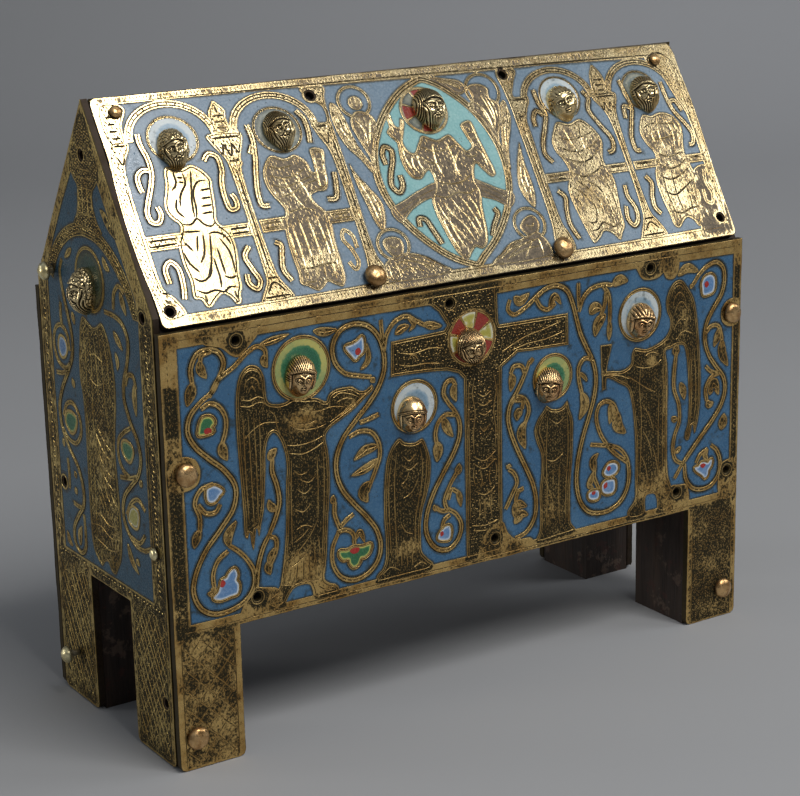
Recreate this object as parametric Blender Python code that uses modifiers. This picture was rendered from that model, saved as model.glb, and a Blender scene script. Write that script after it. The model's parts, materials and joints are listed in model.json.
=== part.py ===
"""Gabled reliquary casket: a hollow box of wooden boards on four legs, faced with
enamelled copper plates that carry cast heads and are held by domed nails.

Metres, +Z up. X runs along the ridge, the front faces -Y, and the origin is on
the floor below the middle of the whole object's box.
"""

import math

import bmesh
import bpy
from mathutils import Matrix, Vector

MM = 0.001

# Driving dimensions of the casket
LENGTH = 286.0 * MM
DEPTH = 110.0 * MM
RIDGE_Z = 256.5 * MM
EAVES_Z = 175.4 * MM
BODY_BOTTOM_Z = 55.3 * MM
ROOF_FOOT_Z = 177.0 * MM
ROOF_PLANE_Z = 175.0 * MM  # where the roof's outer plane meets the front plate's face
ROOF_RIGHT_RIDGE = 146.8 * MM  # the roof plates overhang the right gable, most of all at the ridge
ROOF_RIGHT_FOOT = 141.0 * MM
RIGHT_GABLE_DROP = 3.6 * MM  # of the right gable's plate below the roof's outer plane

# Copper plates
PLATE = 3.0 * MM
CORNER_GAP = 0.8 * MM
CLEARANCE = 0.3 * MM
PLATE_FLOOR_GAP = 0.4 * MM
FRONT_LEG_WIDTH = 29.0 * MM
GABLE_GAP_HALF = 18.0 * MM
GABLE_GAP_TOP_Z = 60.0 * MM
FOOT_CORNER_RADIUS = 2.5 * MM
GAP_CORNER_RADIUS = 3.0 * MM
CORNER_STEPS = 3

# Wooden boards
LEG_SETBACK = 0.6 * MM  # of the wood behind the edges of the plates
BOARD = 12.0 * MM
ROOF_BOARD = 10.0 * MM
BODY_BOARD_TOP_Z = 174.0 * MM

# Nails
DOME_STEPS = 3
DOME_RIM = 0.3 * MM
SHANK_RADIUS = 1.2 * MM
SHANK_IN_WOOD = 8.0 * MM
NAIL_HOLE_RADIUS = 1.5 * MM
EMPTY_HOLE_RADIUS = 1.8 * MM
HOLE_IN_WOOD = 8.3 * MM
NEAR_RIDGE = 12.0 * MM
CUTTER_STAND_OFF = 2.0 * MM
HOLE_SIDES = 8
NAIL_SIDES = 10

# Cast heads
HEAD_MERIDIANS = 22
HEAD_PARALLELS = 13
NOSE_RELIEF = 0.10  # of the head's depth

PLATE_BACK = PLATE + CLEARANCE  # from a plate's face in to the wood
HALF_LENGTH = LENGTH / 2
HALF_DEPTH = DEPTH / 2
ROOF_HALF_LENGTH = HALF_LENGTH - PLATE_BACK
GABLE_HALF = HALF_DEPTH - PLATE - CORNER_GAP
WOOD_HALF_LENGTH = HALF_LENGTH - PLATE_BACK
WOOD_HALF_DEPTH = HALF_DEPTH - PLATE_BACK
END_BOARD = FRONT_LEG_WIDTH - LEG_SETBACK - PLATE_BACK
BETWEEN_ENDS = WOOD_HALF_LENGTH - END_BOARD - CLEARANCE

ROOF_PITCH = math.atan2(RIDGE_Z - ROOF_PLANE_Z, HALF_DEPTH)
SLOPE = math.tan(ROOF_PITCH)

# Each head: the side it is on, how far along and down it sits, its width, height,
# how far it stands out, its tilt in degrees and whether it is bearded.
HEADS = {
    "head_angel_left": ("front", 59.0, 25.0, 12.4, 16.6, 8.5, 4, False),
    "head_mourner_left": ("front", 109.8, 49.5, 12.6, 15.6, 8.0, 0, False),
    "head_crucified": ("front", 138.8, 25.7, 12.4, 15.6, 8.5, -14, True),
    "head_mourner_right": ("front", 178.1, 48.8, 12.4, 15.6, 8.0, 4, False),
    "head_angel_right": ("front", 227.3, 28.5, 13.0, 15.6, 8.5, 6, False),
    "head_apostle_1": ("roof_front", 27.3, 25.4, 11.8, 16.8, 8.5, 0, True),
    "head_apostle_2": ("roof_front", 74.8, 22.9, 12.4, 16.8, 8.5, -6, True),
    "head_majesty": ("roof_front", 146.7, 20.7, 14.2, 18.4, 9.0, 4, True),
    "head_apostle_3": ("roof_front", 214.1, 24.8, 14.0, 16.8, 8.5, -5, False),
    "head_apostle_4": ("roof_front", 259.6, 25.1, 13.2, 17.2, 8.5, 3, True),
    "head_gable_left": ("gable_left", 48.6, 74.5, 12.4, 18.6, 9.5, 0, True),
    "head_gable_right": ("gable_right", 51.2, 74.5, 12.4, 18.6, 9.5, 0, True),
}

# Nail kinds: radius of the head, its height, and how far it stands off the plate
NAIL_KINDS = {
    "copper": (4.7, 2.6, 0.7),
    "knob": (4.7, 3.2, 1.6),
    "proud": (3.8, 2.8, 2.8),
    "loose": (3.7, 2.8, 4.6),
    "small": (2.7, 1.6, 0.5),
}

NAILS = {
    "front": [
        ("copper", 8.4, 55.2),
        ("copper", 280.2, 32.8),
        ("copper", 7.7, 162.0),
        ("copper", 277.9, 161.4),
    ],
    "roof_front": [
        ("small", 9.2, 7.0),
        ("small", 273.3, 8.7),
        ("knob", 94.1, 88.9),
        ("knob", 186.2, 89.8),
    ],
    "gable_left": [
        ("proud", 15.0, 71.8),
        ("loose", 15.4, 236.0),
        ("small", 95.0, 169.0),
    ],
    "back": [
        ("copper", 7.6, 40.0),
        ("copper", 278.4, 52.0),
        ("copper", 8.2, 146.0),
        ("copper", 277.8, 145.0),
    ],
    "roof_back": [
        ("small", 24.0, 6.6),
        ("small", 257.0, 6.6),
        ("copper", 92.0, 89.0),
        ("copper", 188.0, 88.6),
    ],
    "gable_right": [
        ("copper", 9.0, 84.0),
        ("copper", 93.6, 84.0),
        ("copper", 96.0, 231.0),
    ],
}

# Empty nail holes: how far along and down
HOLES = {
    "front": [
        (32.5, 7.0),
        (130.0, 7.0),
        (234.0, 6.7),
        (37.2, 110.7),
        (151.3, 110.8),
        (250.5, 110.3),
        (279.7, 105.5),
    ],
    "roof_front": [(94.9, 8.2), (190.3, 7.8), (4.9, 89.3), (275.4, 86.6)],
    "gable_left": [(48.8, 21.6), (93.8, 77.0), (12.4, 161.5), (96.0, 230.6)],
    "back": [(52.0, 6.8), (143.0, 6.8), (226.0, 6.8), (96.0, 113.4), (190.0, 113.4)],
    "roof_back": [(140.0, 89.0), (7.0, 50.0)],
    "gable_right": [(51.2, 21.6), (8.0, 226.0), (90.8, 160.0)],
}

COLOURS = {  # base colour, roughness, metallic
    "oak": ((0.060, 0.038, 0.024), 0.75, 0.0),
    "enamelled_copper": ((0.10, 0.21, 0.36), 0.38, 0.25),
    "gilt_copper": ((0.66, 0.43, 0.17), 0.33, 1.0),
    "copper": ((0.62, 0.36, 0.22), 0.36, 1.0),
}


def make_material(name):
    colour, roughness, metallic = COLOURS[name]
    material = bpy.data.materials.new(name)
    material.use_nodes = True
    shader = material.node_tree.nodes["Principled BSDF"]
    shader.inputs["Base Color"].default_value = (*colour, 1.0)
    shader.inputs["Roughness"].default_value = roughness
    shader.inputs["Metallic"].default_value = metallic
    return material


def frame_matrix(corner, along, up, out):
    """A side's own frame: x along it, y up it and z out of it, from its top left corner."""
    matrix = Matrix((along, up, out)).transposed().to_4x4()
    matrix.translation = corner
    return matrix


def make_sides(shift):
    """The frames of the six outer faces, each seen from outside."""
    cos_p, sin_p = math.cos(ROOF_PITCH), math.sin(ROOF_PITCH)
    frames = {
        "front": frame_matrix((-HALF_LENGTH, -HALF_DEPTH, EAVES_Z), (1, 0, 0), (0, 0, 1), (0, -1, 0)),
        "back": frame_matrix((HALF_LENGTH, HALF_DEPTH, EAVES_Z), (-1, 0, 0), (0, 0, 1), (0, 1, 0)),
        "gable_left": frame_matrix((-HALF_LENGTH, GABLE_HALF, RIDGE_Z), (0, -1, 0), (0, 0, 1), (-1, 0, 0)),
        "gable_right": frame_matrix((HALF_LENGTH, -GABLE_HALF, RIDGE_Z), (0, 1, 0), (0, 0, 1), (1, 0, 0)),
        "roof_front": frame_matrix(
            (-ROOF_HALF_LENGTH, 0, RIDGE_Z), (1, 0, 0), (0, cos_p, sin_p), (0, -sin_p, cos_p)
        ),
        "roof_back": frame_matrix(
            (ROOF_HALF_LENGTH, 0, RIDGE_Z), (-1, 0, 0), (0, -cos_p, sin_p), (0, sin_p, cos_p)
        ),
    }
    return {name: Matrix.Translation((0, shift, 0)) @ frame for name, frame in frames.items()}


def origin_shift():
    """How far the body stands behind the origin, so that the whole box is centred on it."""
    head_out = max(out for side, _, _, _, _, out, _, _ in HEADS.values() if side == "front")
    nail_out = max(sum(NAIL_KINDS[kind][1:]) for kind, _, _ in NAILS["back"])
    return (head_out - nail_out) * MM / 2


def add_object(name, mesh, matrix, material, collection, parent):
    obj = bpy.data.objects.new(name, mesh)
    collection.objects.link(obj)
    obj.parent = parent
    obj.matrix_world = matrix
    mesh.materials.append(material)
    return obj


def rounded(corners):
    """The outline through (x, y, radius) corners, each rounded by an arc of its radius."""
    outline = []
    for index, (x, y, radius) in enumerate(corners):
        corner = Vector((x, y))
        if radius == 0:
            outline.append(corner)
            continue
        before = (Vector(corners[index - 1][:2]) - corner).normalized()
        after = (Vector(corners[(index + 1) % len(corners)][:2]) - corner).normalized()
        half_angle = before.angle(after) / 2
        centre = corner + (before + after).normalized() * (radius / math.sin(half_angle))
        start = corner + before * (radius / math.tan(half_angle)) - centre
        end = corner + after * (radius / math.tan(half_angle)) - centre
        for step in range(CORNER_STEPS + 1):
            outline.append(centre + start.slerp(end, step / CORNER_STEPS).normalized() * radius)
    return outline


def signed_area(outline):
    pairs = zip(outline, outline[1:] + outline[:1])
    return sum(a.x * b.y - b.x * a.y for a, b in pairs) / 2


def slab_mesh(name, outline):
    """A flat face with this outline, facing +z."""
    if signed_area(outline) < 0:
        outline = outline[::-1]
    shape = bmesh.new()
    shape.faces.new([shape.verts.new((point.x, point.y, 0)) for point in outline])
    mesh = bpy.data.meshes.new(name)
    shape.to_mesh(mesh)
    shape.free()
    return mesh


def add_slab(name, outline, thickness, matrix, material, collection, parent):
    """A slab whose outer face has this outline and whose thickness runs inwards."""
    obj = add_object(name, slab_mesh(name, outline), matrix, material, collection, parent)
    solidify = obj.modifiers.new("thickness", "SOLIDIFY")
    solidify.thickness = thickness
    solidify.offset = -1.0
    return obj


def cut(obj, cutters):
    modifier = obj.modifiers.new("nail_holes", "BOOLEAN")
    modifier.operation = "DIFFERENCE"
    modifier.solver = "EXACT"
    modifier.operand_type = "COLLECTION"
    modifier.collection = cutters


# Plates


def wall_outline():
    """The front or back plate: a long panel with a leg at each end, from its top left corner."""
    top, bottom = 0.0, PLATE_FLOOR_GAP - EAVES_Z
    belly = BODY_BOTTOM_Z - EAVES_Z
    foot = FOOT_CORNER_RADIUS
    return rounded([
        (0, top, 0),
        (0, bottom, foot),
        (FRONT_LEG_WIDTH, bottom, foot),
        (FRONT_LEG_WIDTH, belly, GAP_CORNER_RADIUS),
        (LENGTH - FRONT_LEG_WIDTH, belly, GAP_CORNER_RADIUS),
        (LENGTH - FRONT_LEG_WIDTH, bottom, foot),
        (LENGTH, bottom, foot),
        (LENGTH, top, 0),
    ])


def gable_outline(half, drop, bottom_z, gap_half, gap_top_z, foot):
    """A gabled end with two legs, its slopes drop metres in from the roof's outer plane.

    x runs from the left edge of a gable plate, and y up from the ridge's height."""
    apex = -drop / math.cos(ROOF_PITCH)
    shoulder = apex - half * SLOPE
    centre = GABLE_HALF
    bottom, gap_top = bottom_z - RIDGE_Z, gap_top_z - RIDGE_Z
    return rounded([
        (centre, apex, 0),
        (centre - half, shoulder, 0),
        (centre - half, bottom, foot),
        (centre - gap_half, bottom, foot),
        (centre - gap_half, gap_top, GAP_CORNER_RADIUS),
        (centre + gap_half, gap_top, GAP_CORNER_RADIUS),
        (centre + gap_half, bottom, foot),
        (centre + half, bottom, foot),
        (centre + half, shoulder, 0),
    ])


def roof_section(depth, thickness, foot_z, square_foot):
    """The cross-section of a roof layer that lies depth below the roof's outer plane.

    x runs in from the ridge and y up from the floor. The layer meets its twin at a plumb cut."""
    cos_p, sin_p = math.cos(ROOF_PITCH), math.sin(ROOF_PITCH)
    middle = CLEARANCE / 2

    def height(below, x):
        return RIDGE_Z - below / cos_p - x * SLOPE

    def reach(below, z):
        return (RIDGE_Z - below / cos_p - z) / SLOPE

    outer_foot = Vector((reach(depth, foot_z), foot_z))
    if square_foot:
        inner_foot = outer_foot - Vector((sin_p, cos_p)) * thickness
    else:
        inner_foot = Vector((reach(depth + thickness, foot_z), foot_z))
    inner = depth + thickness
    return [
        Vector((middle, height(depth, middle))),
        outer_foot,
        inner_foot,
        Vector((middle, height(inner, middle))),
    ]


def section_matrix(half_length, sign, shift):
    """Places a cross-section so that its slab runs along the ridge, on the front (-1) or back (1)."""
    across = Vector((0, sign, 0))
    along = Vector((sign, 0, 0))
    matrix = Matrix((across, Vector((0, 0, 1)), along)).transposed().to_4x4()
    matrix.translation = (sign * half_length, shift, 0)
    return matrix


def roof_plate_mesh(name, sign):
    """A roof plate on the front (-1) or back (1), square at its left end and slanted at its right."""
    section = roof_section(0.0, PLATE, ROOF_FOOT_Z, True)
    shape = bmesh.new()
    left, right = [], []
    for point in section:
        share = (RIDGE_Z - point.y) / (RIDGE_Z - ROOF_FOOT_Z)
        edge = ROOF_RIGHT_RIDGE + (ROOF_RIGHT_FOOT - ROOF_RIGHT_RIDGE) * share
        left.append(shape.verts.new((-ROOF_HALF_LENGTH, sign * point.x, point.y)))
        right.append(shape.verts.new((edge, sign * point.x, point.y)))
    shape.faces.new(left)
    shape.faces.new(right)
    for index in range(len(section)):
        after = (index + 1) % len(section)
        shape.faces.new([left[index], left[after], right[after], right[index]])
    bmesh.ops.recalc_face_normals(shape, faces=shape.faces[:])
    mesh = bpy.data.meshes.new(name)
    shape.to_mesh(mesh)
    shape.free()
    return mesh


def add_plates(sides, shift, materials, collection, parent):
    metal = materials["enamelled_copper"]
    plates = {}
    for side in ("front", "back"):
        plates[side] = add_slab(
            f"plate_{side}", wall_outline(), PLATE, sides[side], metal, collection, parent
        )
    for side, drop in (("gable_left", 0.0), ("gable_right", RIGHT_GABLE_DROP)):
        outline = gable_outline(
            GABLE_HALF, drop, PLATE_FLOOR_GAP, GABLE_GAP_HALF, GABLE_GAP_TOP_Z, FOOT_CORNER_RADIUS
        )
        plates[side] = add_slab(f"plate_{side}", outline, PLATE, sides[side], metal, collection, parent)
    for side, sign in (("roof_front", -1), ("roof_back", 1)):
        name = f"plate_{side}"
        place = Matrix.Translation((0, shift, 0))
        plates[side] = add_object(name, roof_plate_mesh(name, sign), place, metal, collection, parent)
    return plates


# Wooden core


def rectangle(left, right, bottom, top):
    return [Vector((left, top)), Vector((left, bottom)), Vector((right, bottom)), Vector((right, top))]


def add_core(sides, shift, materials, collection, parent):
    wood = materials["oak"]
    inward = Matrix.Translation((0, 0, -PLATE_BACK))
    outline = gable_outline(
        WOOD_HALF_DEPTH, PLATE_BACK, 0.0, GABLE_GAP_HALF + LEG_SETBACK, GABLE_GAP_TOP_Z + LEG_SETBACK, 0
    )
    boards = {}
    for end in ("left", "right"):
        matrix = sides[f"gable_{end}"] @ inward
        name = f"core_end_{end}"
        boards[name] = add_slab(name, outline, END_BOARD, matrix, wood, collection, parent)
    board_bottom = BODY_BOTTOM_Z + LEG_SETBACK
    wall = rectangle(
        HALF_LENGTH - BETWEEN_ENDS,
        HALF_LENGTH + BETWEEN_ENDS,
        board_bottom - EAVES_Z,
        BODY_BOARD_TOP_Z - EAVES_Z,
    )
    for side in ("front", "back"):
        name = f"core_{side}_board"
        boards[name] = add_slab(name, wall, BOARD, sides[side] @ inward, wood, collection, parent)
    half_bottom = WOOD_HALF_DEPTH - BOARD - CLEARANCE
    floor = rectangle(-BETWEEN_ENDS, BETWEEN_ENDS, -half_bottom, half_bottom)
    matrix = Matrix.Translation((0, shift, board_bottom + BOARD))
    boards["core_bottom_board"] = add_slab(
        "core_bottom_board", floor, BOARD, matrix, wood, collection, parent
    )
    section = roof_section(PLATE_BACK, ROOF_BOARD, BODY_BOARD_TOP_Z + CLEARANCE, False)
    for side, sign in (("front", -1), ("back", 1)):
        name = f"core_roof_board_{side}"
        matrix = section_matrix(BETWEEN_ENDS, sign, shift)
        boards[name] = add_slab(name, section, 2 * BETWEEN_ENDS, matrix, wood, collection, parent)
    return boards


# Nails and their holes


def add_cutter(name, side_matrix, u, v, radius, depth, collection):
    """A cylinder through a plate and depth metres below its face, at (u, v) on a side."""
    length = CUTTER_STAND_OFF + depth
    shape = bmesh.new()
    bmesh.ops.create_cone(
        shape, cap_ends=True, segments=HOLE_SIDES, radius1=radius, radius2=radius, depth=length
    )
    mesh = bpy.data.meshes.new(name)
    shape.to_mesh(mesh)
    shape.free()
    obj = bpy.data.objects.new(name, mesh)
    obj.matrix_world = side_matrix @ Matrix.Translation((u, -v, CUTTER_STAND_OFF - length / 2))
    obj.hide_render = True
    obj.display_type = "WIRE"
    collection.objects.link(obj)


def near_ridge(side, v):
    """Whether a roof hole is so close to the ridge that it stops at the back of its plate."""
    return side.startswith("roof") and v < NEAR_RIDGE


def add_cutters(side, side_matrix, parent_collection):
    collection = bpy.data.collections.new(f"holes_{side}")
    parent_collection.children.link(collection)
    places = [(u, v, NAIL_HOLE_RADIUS) for _, u, v in NAILS[side]]
    places += [(u, v, EMPTY_HOLE_RADIUS) for u, v in HOLES[side]]
    for index, (u, v, radius) in enumerate(places):
        u, v = u * MM, v * MM
        depth = PLATE + CLEARANCE / 2 if near_ridge(side, v) else PLATE_BACK + HOLE_IN_WOOD
        name = f"hole_{side}_{index + 1}"
        add_cutter(name, side_matrix, u, v, radius, depth, collection)
    return collection


def nail_profile(radius, height, lift, shank):
    """Half of a nail's section, from the top of its dome down to the end of its shank."""
    points = [(0.0, lift + height)]
    for step in range(1, DOME_STEPS + 1):
        angle = math.radians(90) * (1 - step / DOME_STEPS)
        rise = (height - DOME_RIM) * math.sin(angle)
        points.append((radius * math.cos(angle), lift + DOME_RIM + rise))
    points.append((radius * 0.9, lift))
    return points + [(SHANK_RADIUS, lift), (SHANK_RADIUS, -shank), (0.0, -shank)]


def add_nail(name, kind, side_matrix, u, v, material, collection, parent, shank):
    radius, height, stand_off = (value * MM for value in NAIL_KINDS[kind])
    profile = nail_profile(radius, height, stand_off + CLEARANCE, shank)
    mesh = bpy.data.meshes.new(name)
    edges = [(index, index + 1) for index in range(len(profile) - 1)]
    mesh.from_pydata([(x, 0, z) for x, z in profile], edges, [])
    matrix = side_matrix @ Matrix.Translation((u, -v, 0))
    obj = add_object(name, mesh, matrix, material, collection, parent)
    screw = obj.modifiers.new("turned", "SCREW")
    screw.steps = screw.render_steps = NAIL_SIDES
    screw.use_merge_vertices = True
    screw.merge_threshold = 0.00001
    screw.use_smooth_shade = True


def add_nails(sides, materials, collection, parent):
    for side, nails in NAILS.items():
        for index, (kind, u, v) in enumerate(nails):
            u, v = u * MM, v * MM
            shank = PLATE - CLEARANCE if near_ridge(side, v) else PLATE_BACK + SHANK_IN_WOOD
            name = f"nail_{side}_{index + 1}"
            material = materials["copper"]
            add_nail(name, kind, sides[side], u, v, material, collection, parent, shank)


# Cast heads


def bump(value, centre, width):
    return math.exp(-(((value - centre) / width) ** 2))


def face_relief(across, up, bearded):
    """How far the face stands out from the plain oval, in head depths.

    across and up run from -1 to 1 over the head."""
    relief = NOSE_RELIEF * bump(across, 0, 0.13) * bump(up, -0.08, 0.20)
    relief += 0.05 * bump(up, 0.24, 0.10) * bump(across, 0, 0.55)  # brow
    relief -= 0.10 * bump(abs(across), 0.30, 0.16) * bump(up, 0.10, 0.12)  # eye hollows
    relief += 0.04 * bump(across, 0, 0.30) * bump(up, -0.36, 0.09)  # lips
    relief += 0.06 * bump(across, 0, 0.30) * bump(up, -0.66, 0.14)  # chin
    if up > 0.42 or abs(across) > 0.72:
        relief += 0.07  # hair
    if bearded and up < -0.50:
        relief += 0.06 * math.cos(6.0 * across) ** 2
    return relief


def head_mesh(name, width, height, out, bearded):
    """The front half of an oval head with a flat back, its face towards +z and its crown to +y."""
    shape = bmesh.new()
    upright = Matrix.Rotation(math.radians(-90), 4, "X")
    bmesh.ops.create_uvsphere(
        shape, u_segments=HEAD_MERIDIANS, v_segments=HEAD_PARALLELS, radius=1.0, matrix=upright
    )
    everything = shape.verts[:] + shape.edges[:] + shape.faces[:]
    bmesh.ops.bisect_plane(
        shape, geom=everything, dist=1e-6, plane_co=(0, 0, 0), plane_no=(0, 0, 1), clear_inner=True
    )
    rim = [edge for edge in shape.edges if edge.is_boundary]
    bmesh.ops.holes_fill(shape, edges=rim)
    for vert in shape.verts:
        across, up, forward = vert.co
        jaw = 1.0 - 0.09 * max(0.0, -up)
        stand = forward * (1.0 + face_relief(across, up, bearded) * forward)
        vert.co = (across * jaw * width / 2, up * height / 2, stand * out / (1 + NOSE_RELIEF))
    bmesh.ops.recalc_face_normals(shape, faces=shape.faces[:])
    mesh = bpy.data.meshes.new(name)
    shape.to_mesh(mesh)
    shape.free()
    mesh.shade_smooth()
    return mesh


def add_heads(sides, materials, collection, parent):
    for name, (side, u, v, width, height, out, tilt, bearded) in HEADS.items():
        mesh = head_mesh(name, width * MM, height * MM, out * MM, bearded)
        place = Matrix.Translation((u * MM, -v * MM, CLEARANCE))
        turn = Matrix.Rotation(math.radians(tilt), 4, "Z")
        matrix = sides[side] @ place @ turn
        add_object(name, mesh, matrix, materials["gilt_copper"], collection, parent)


def main():
    for obj in list(bpy.data.objects):
        bpy.data.objects.remove(obj, do_unlink=True)
    scene = bpy.context.scene.collection
    parts = bpy.data.collections.new("reliquary_casket")
    cutters = bpy.data.collections.new("cutters")
    scene.children.link(parts)
    scene.children.link(cutters)
    cutters.hide_render = True
    parent = bpy.data.objects.new("casket", None)
    parts.objects.link(parent)

    materials = {name: make_material(name) for name in COLOURS}
    shift = origin_shift()
    sides = make_sides(shift)
    plates = add_plates(sides, shift, materials, parts, parent)
    boards = add_core(sides, shift, materials, parts, parent)
    holes = {side: add_cutters(side, sides[side], cutters) for side in plates}
    for side, plate in plates.items():
        cut(plate, holes[side])
    boards_behind = {
        "front": ("core_front_board", "core_end_left", "core_end_right"),
        "back": ("core_back_board", "core_end_left", "core_end_right"),
        "roof_front": ("core_roof_board_front", "core_end_left", "core_end_right"),
        "roof_back": ("core_roof_board_back", "core_end_left", "core_end_right"),
        "gable_left": ("core_end_left",),
        "gable_right": ("core_end_right",),
    }
    for side, names in boards_behind.items():
        for name in names:
            cut(boards[name], holes[side])
    add_nails(sides, materials, parts, parent)
    add_heads(sides, materials, parts, parent)


main()
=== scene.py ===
import json
import math
import random

import bpy
from mathutils import Matrix, Vector, geometry, kdtree, noise

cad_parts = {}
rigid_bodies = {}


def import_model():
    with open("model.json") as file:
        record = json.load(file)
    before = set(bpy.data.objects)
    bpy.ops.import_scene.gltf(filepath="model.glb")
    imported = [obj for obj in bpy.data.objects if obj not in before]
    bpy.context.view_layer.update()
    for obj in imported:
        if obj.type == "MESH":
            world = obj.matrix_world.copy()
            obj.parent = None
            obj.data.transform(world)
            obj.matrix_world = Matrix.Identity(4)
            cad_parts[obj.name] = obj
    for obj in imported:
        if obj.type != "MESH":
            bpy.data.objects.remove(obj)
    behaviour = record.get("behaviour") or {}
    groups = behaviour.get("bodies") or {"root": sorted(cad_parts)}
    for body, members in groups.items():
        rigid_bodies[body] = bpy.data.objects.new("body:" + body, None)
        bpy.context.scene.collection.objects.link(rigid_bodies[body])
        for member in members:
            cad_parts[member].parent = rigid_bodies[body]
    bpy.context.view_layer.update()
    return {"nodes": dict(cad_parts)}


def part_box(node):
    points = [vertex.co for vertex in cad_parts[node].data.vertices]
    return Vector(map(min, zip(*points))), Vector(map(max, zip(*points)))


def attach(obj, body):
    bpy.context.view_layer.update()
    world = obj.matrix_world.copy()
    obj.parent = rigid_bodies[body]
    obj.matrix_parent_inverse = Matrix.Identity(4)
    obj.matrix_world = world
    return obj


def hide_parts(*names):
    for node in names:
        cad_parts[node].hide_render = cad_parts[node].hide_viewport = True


for startup in list(bpy.data.objects):
    bpy.data.objects.remove(startup)
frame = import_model()
print("stage 1: frame loaded")


# Helpers for node trees
def addNode(tree, kind, links=None, **settings):
    made = tree.nodes.new(kind)
    for key, value in settings.items():
        setattr(made, key, value)
    for key, value in (links or {}).items():
        socket = made.inputs[key]
        if isinstance(value, bpy.types.NodeSocket):
            tree.links.new(value, socket)
        else:
            socket.default_value = value
    return made


def calc(tree, operation, first, second=0.0, clamp=False):
    made = addNode(tree, "ShaderNodeMath", {0: first, 1: second}, operation=operation, use_clamp=clamp)
    return made.outputs[0]


def plus(tree, first, second):
    return calc(tree, "ADD", first, second)


def minus(tree, first, second):
    return calc(tree, "SUBTRACT", first, second)


def times(tree, first, second):
    return calc(tree, "MULTIPLY", first, second)


def joinVector(tree, x, y, z=0.0):
    return addNode(tree, "ShaderNodeCombineXYZ", {0: x, 1: y, 2: z}).outputs[0]


def splitVector(tree, vector):
    return addNode(tree, "ShaderNodeSeparateXYZ", {0: vector}).outputs


def between(tree, value, low, high, fromLow=0.0, fromHigh=1.0):
    made = addNode(tree, "ShaderNodeMapRange", {0: value, 1: fromLow, 2: fromHigh, 3: low, 4: high},
                   interpolation_type="SMOOTHSTEP")
    return made.outputs[0]


def blendColour(tree, share, first, second):
    made = addNode(tree, "ShaderNodeMix", {0: share, 6: first, 7: second}, data_type="RGBA")
    return made.outputs[2]


def grain(tree, place, scale, detail=3.0, roughness=0.55, stretch=None):
    if stretch:
        place = addNode(tree, "ShaderNodeMapping", {"Vector": place, "Scale": stretch}).outputs[0]
    made = addNode(tree, "ShaderNodeTexNoise", {"Vector": place, "Scale": scale, "Detail": detail,
                                               "Roughness": roughness})
    return made.outputs["Fac"]


def cells(tree, place, scale):
    return addNode(tree, "ShaderNodeTexVoronoi", {"Vector": place, "Scale": scale}).outputs["Distance"]


def startGroup(name, inputs, outputs):
    tree = bpy.data.node_groups.new(name, "ShaderNodeTree")
    for label, kind, value in inputs:
        socket = tree.interface.new_socket(label, in_out="INPUT", socket_type=kind)
        if value is not None:
            socket.default_value = value
    for label, kind in outputs:
        tree.interface.new_socket(label, in_out="OUTPUT", socket_type=kind)
    return tree, tree.nodes.new("NodeGroupInput").outputs, tree.nodes.new("NodeGroupOutput").inputs


def useGroup(tree, group, links):
    made = tree.nodes.new("ShaderNodeGroup")
    made.node_tree = group
    for key, value in links.items():
        if isinstance(value, bpy.types.NodeSocket):
            tree.links.new(value, made.inputs[key])
        else:
            made.inputs[key].default_value = value
    return made.outputs


def readAttribute(tree, name):
    return addNode(tree, "ShaderNodeAttribute", attribute_name=name).outputs["Fac"]


def rgb(red, green, blue):  # screen colour 0-255 to the linear value that a shader takes
    def part(c):
        c /= 255
        return c / 12.92 if c < 0.04045 else ((c + 0.055) / 1.055) ** 2.4
    return (part(red), part(green), part(blue), 1.0)


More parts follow.
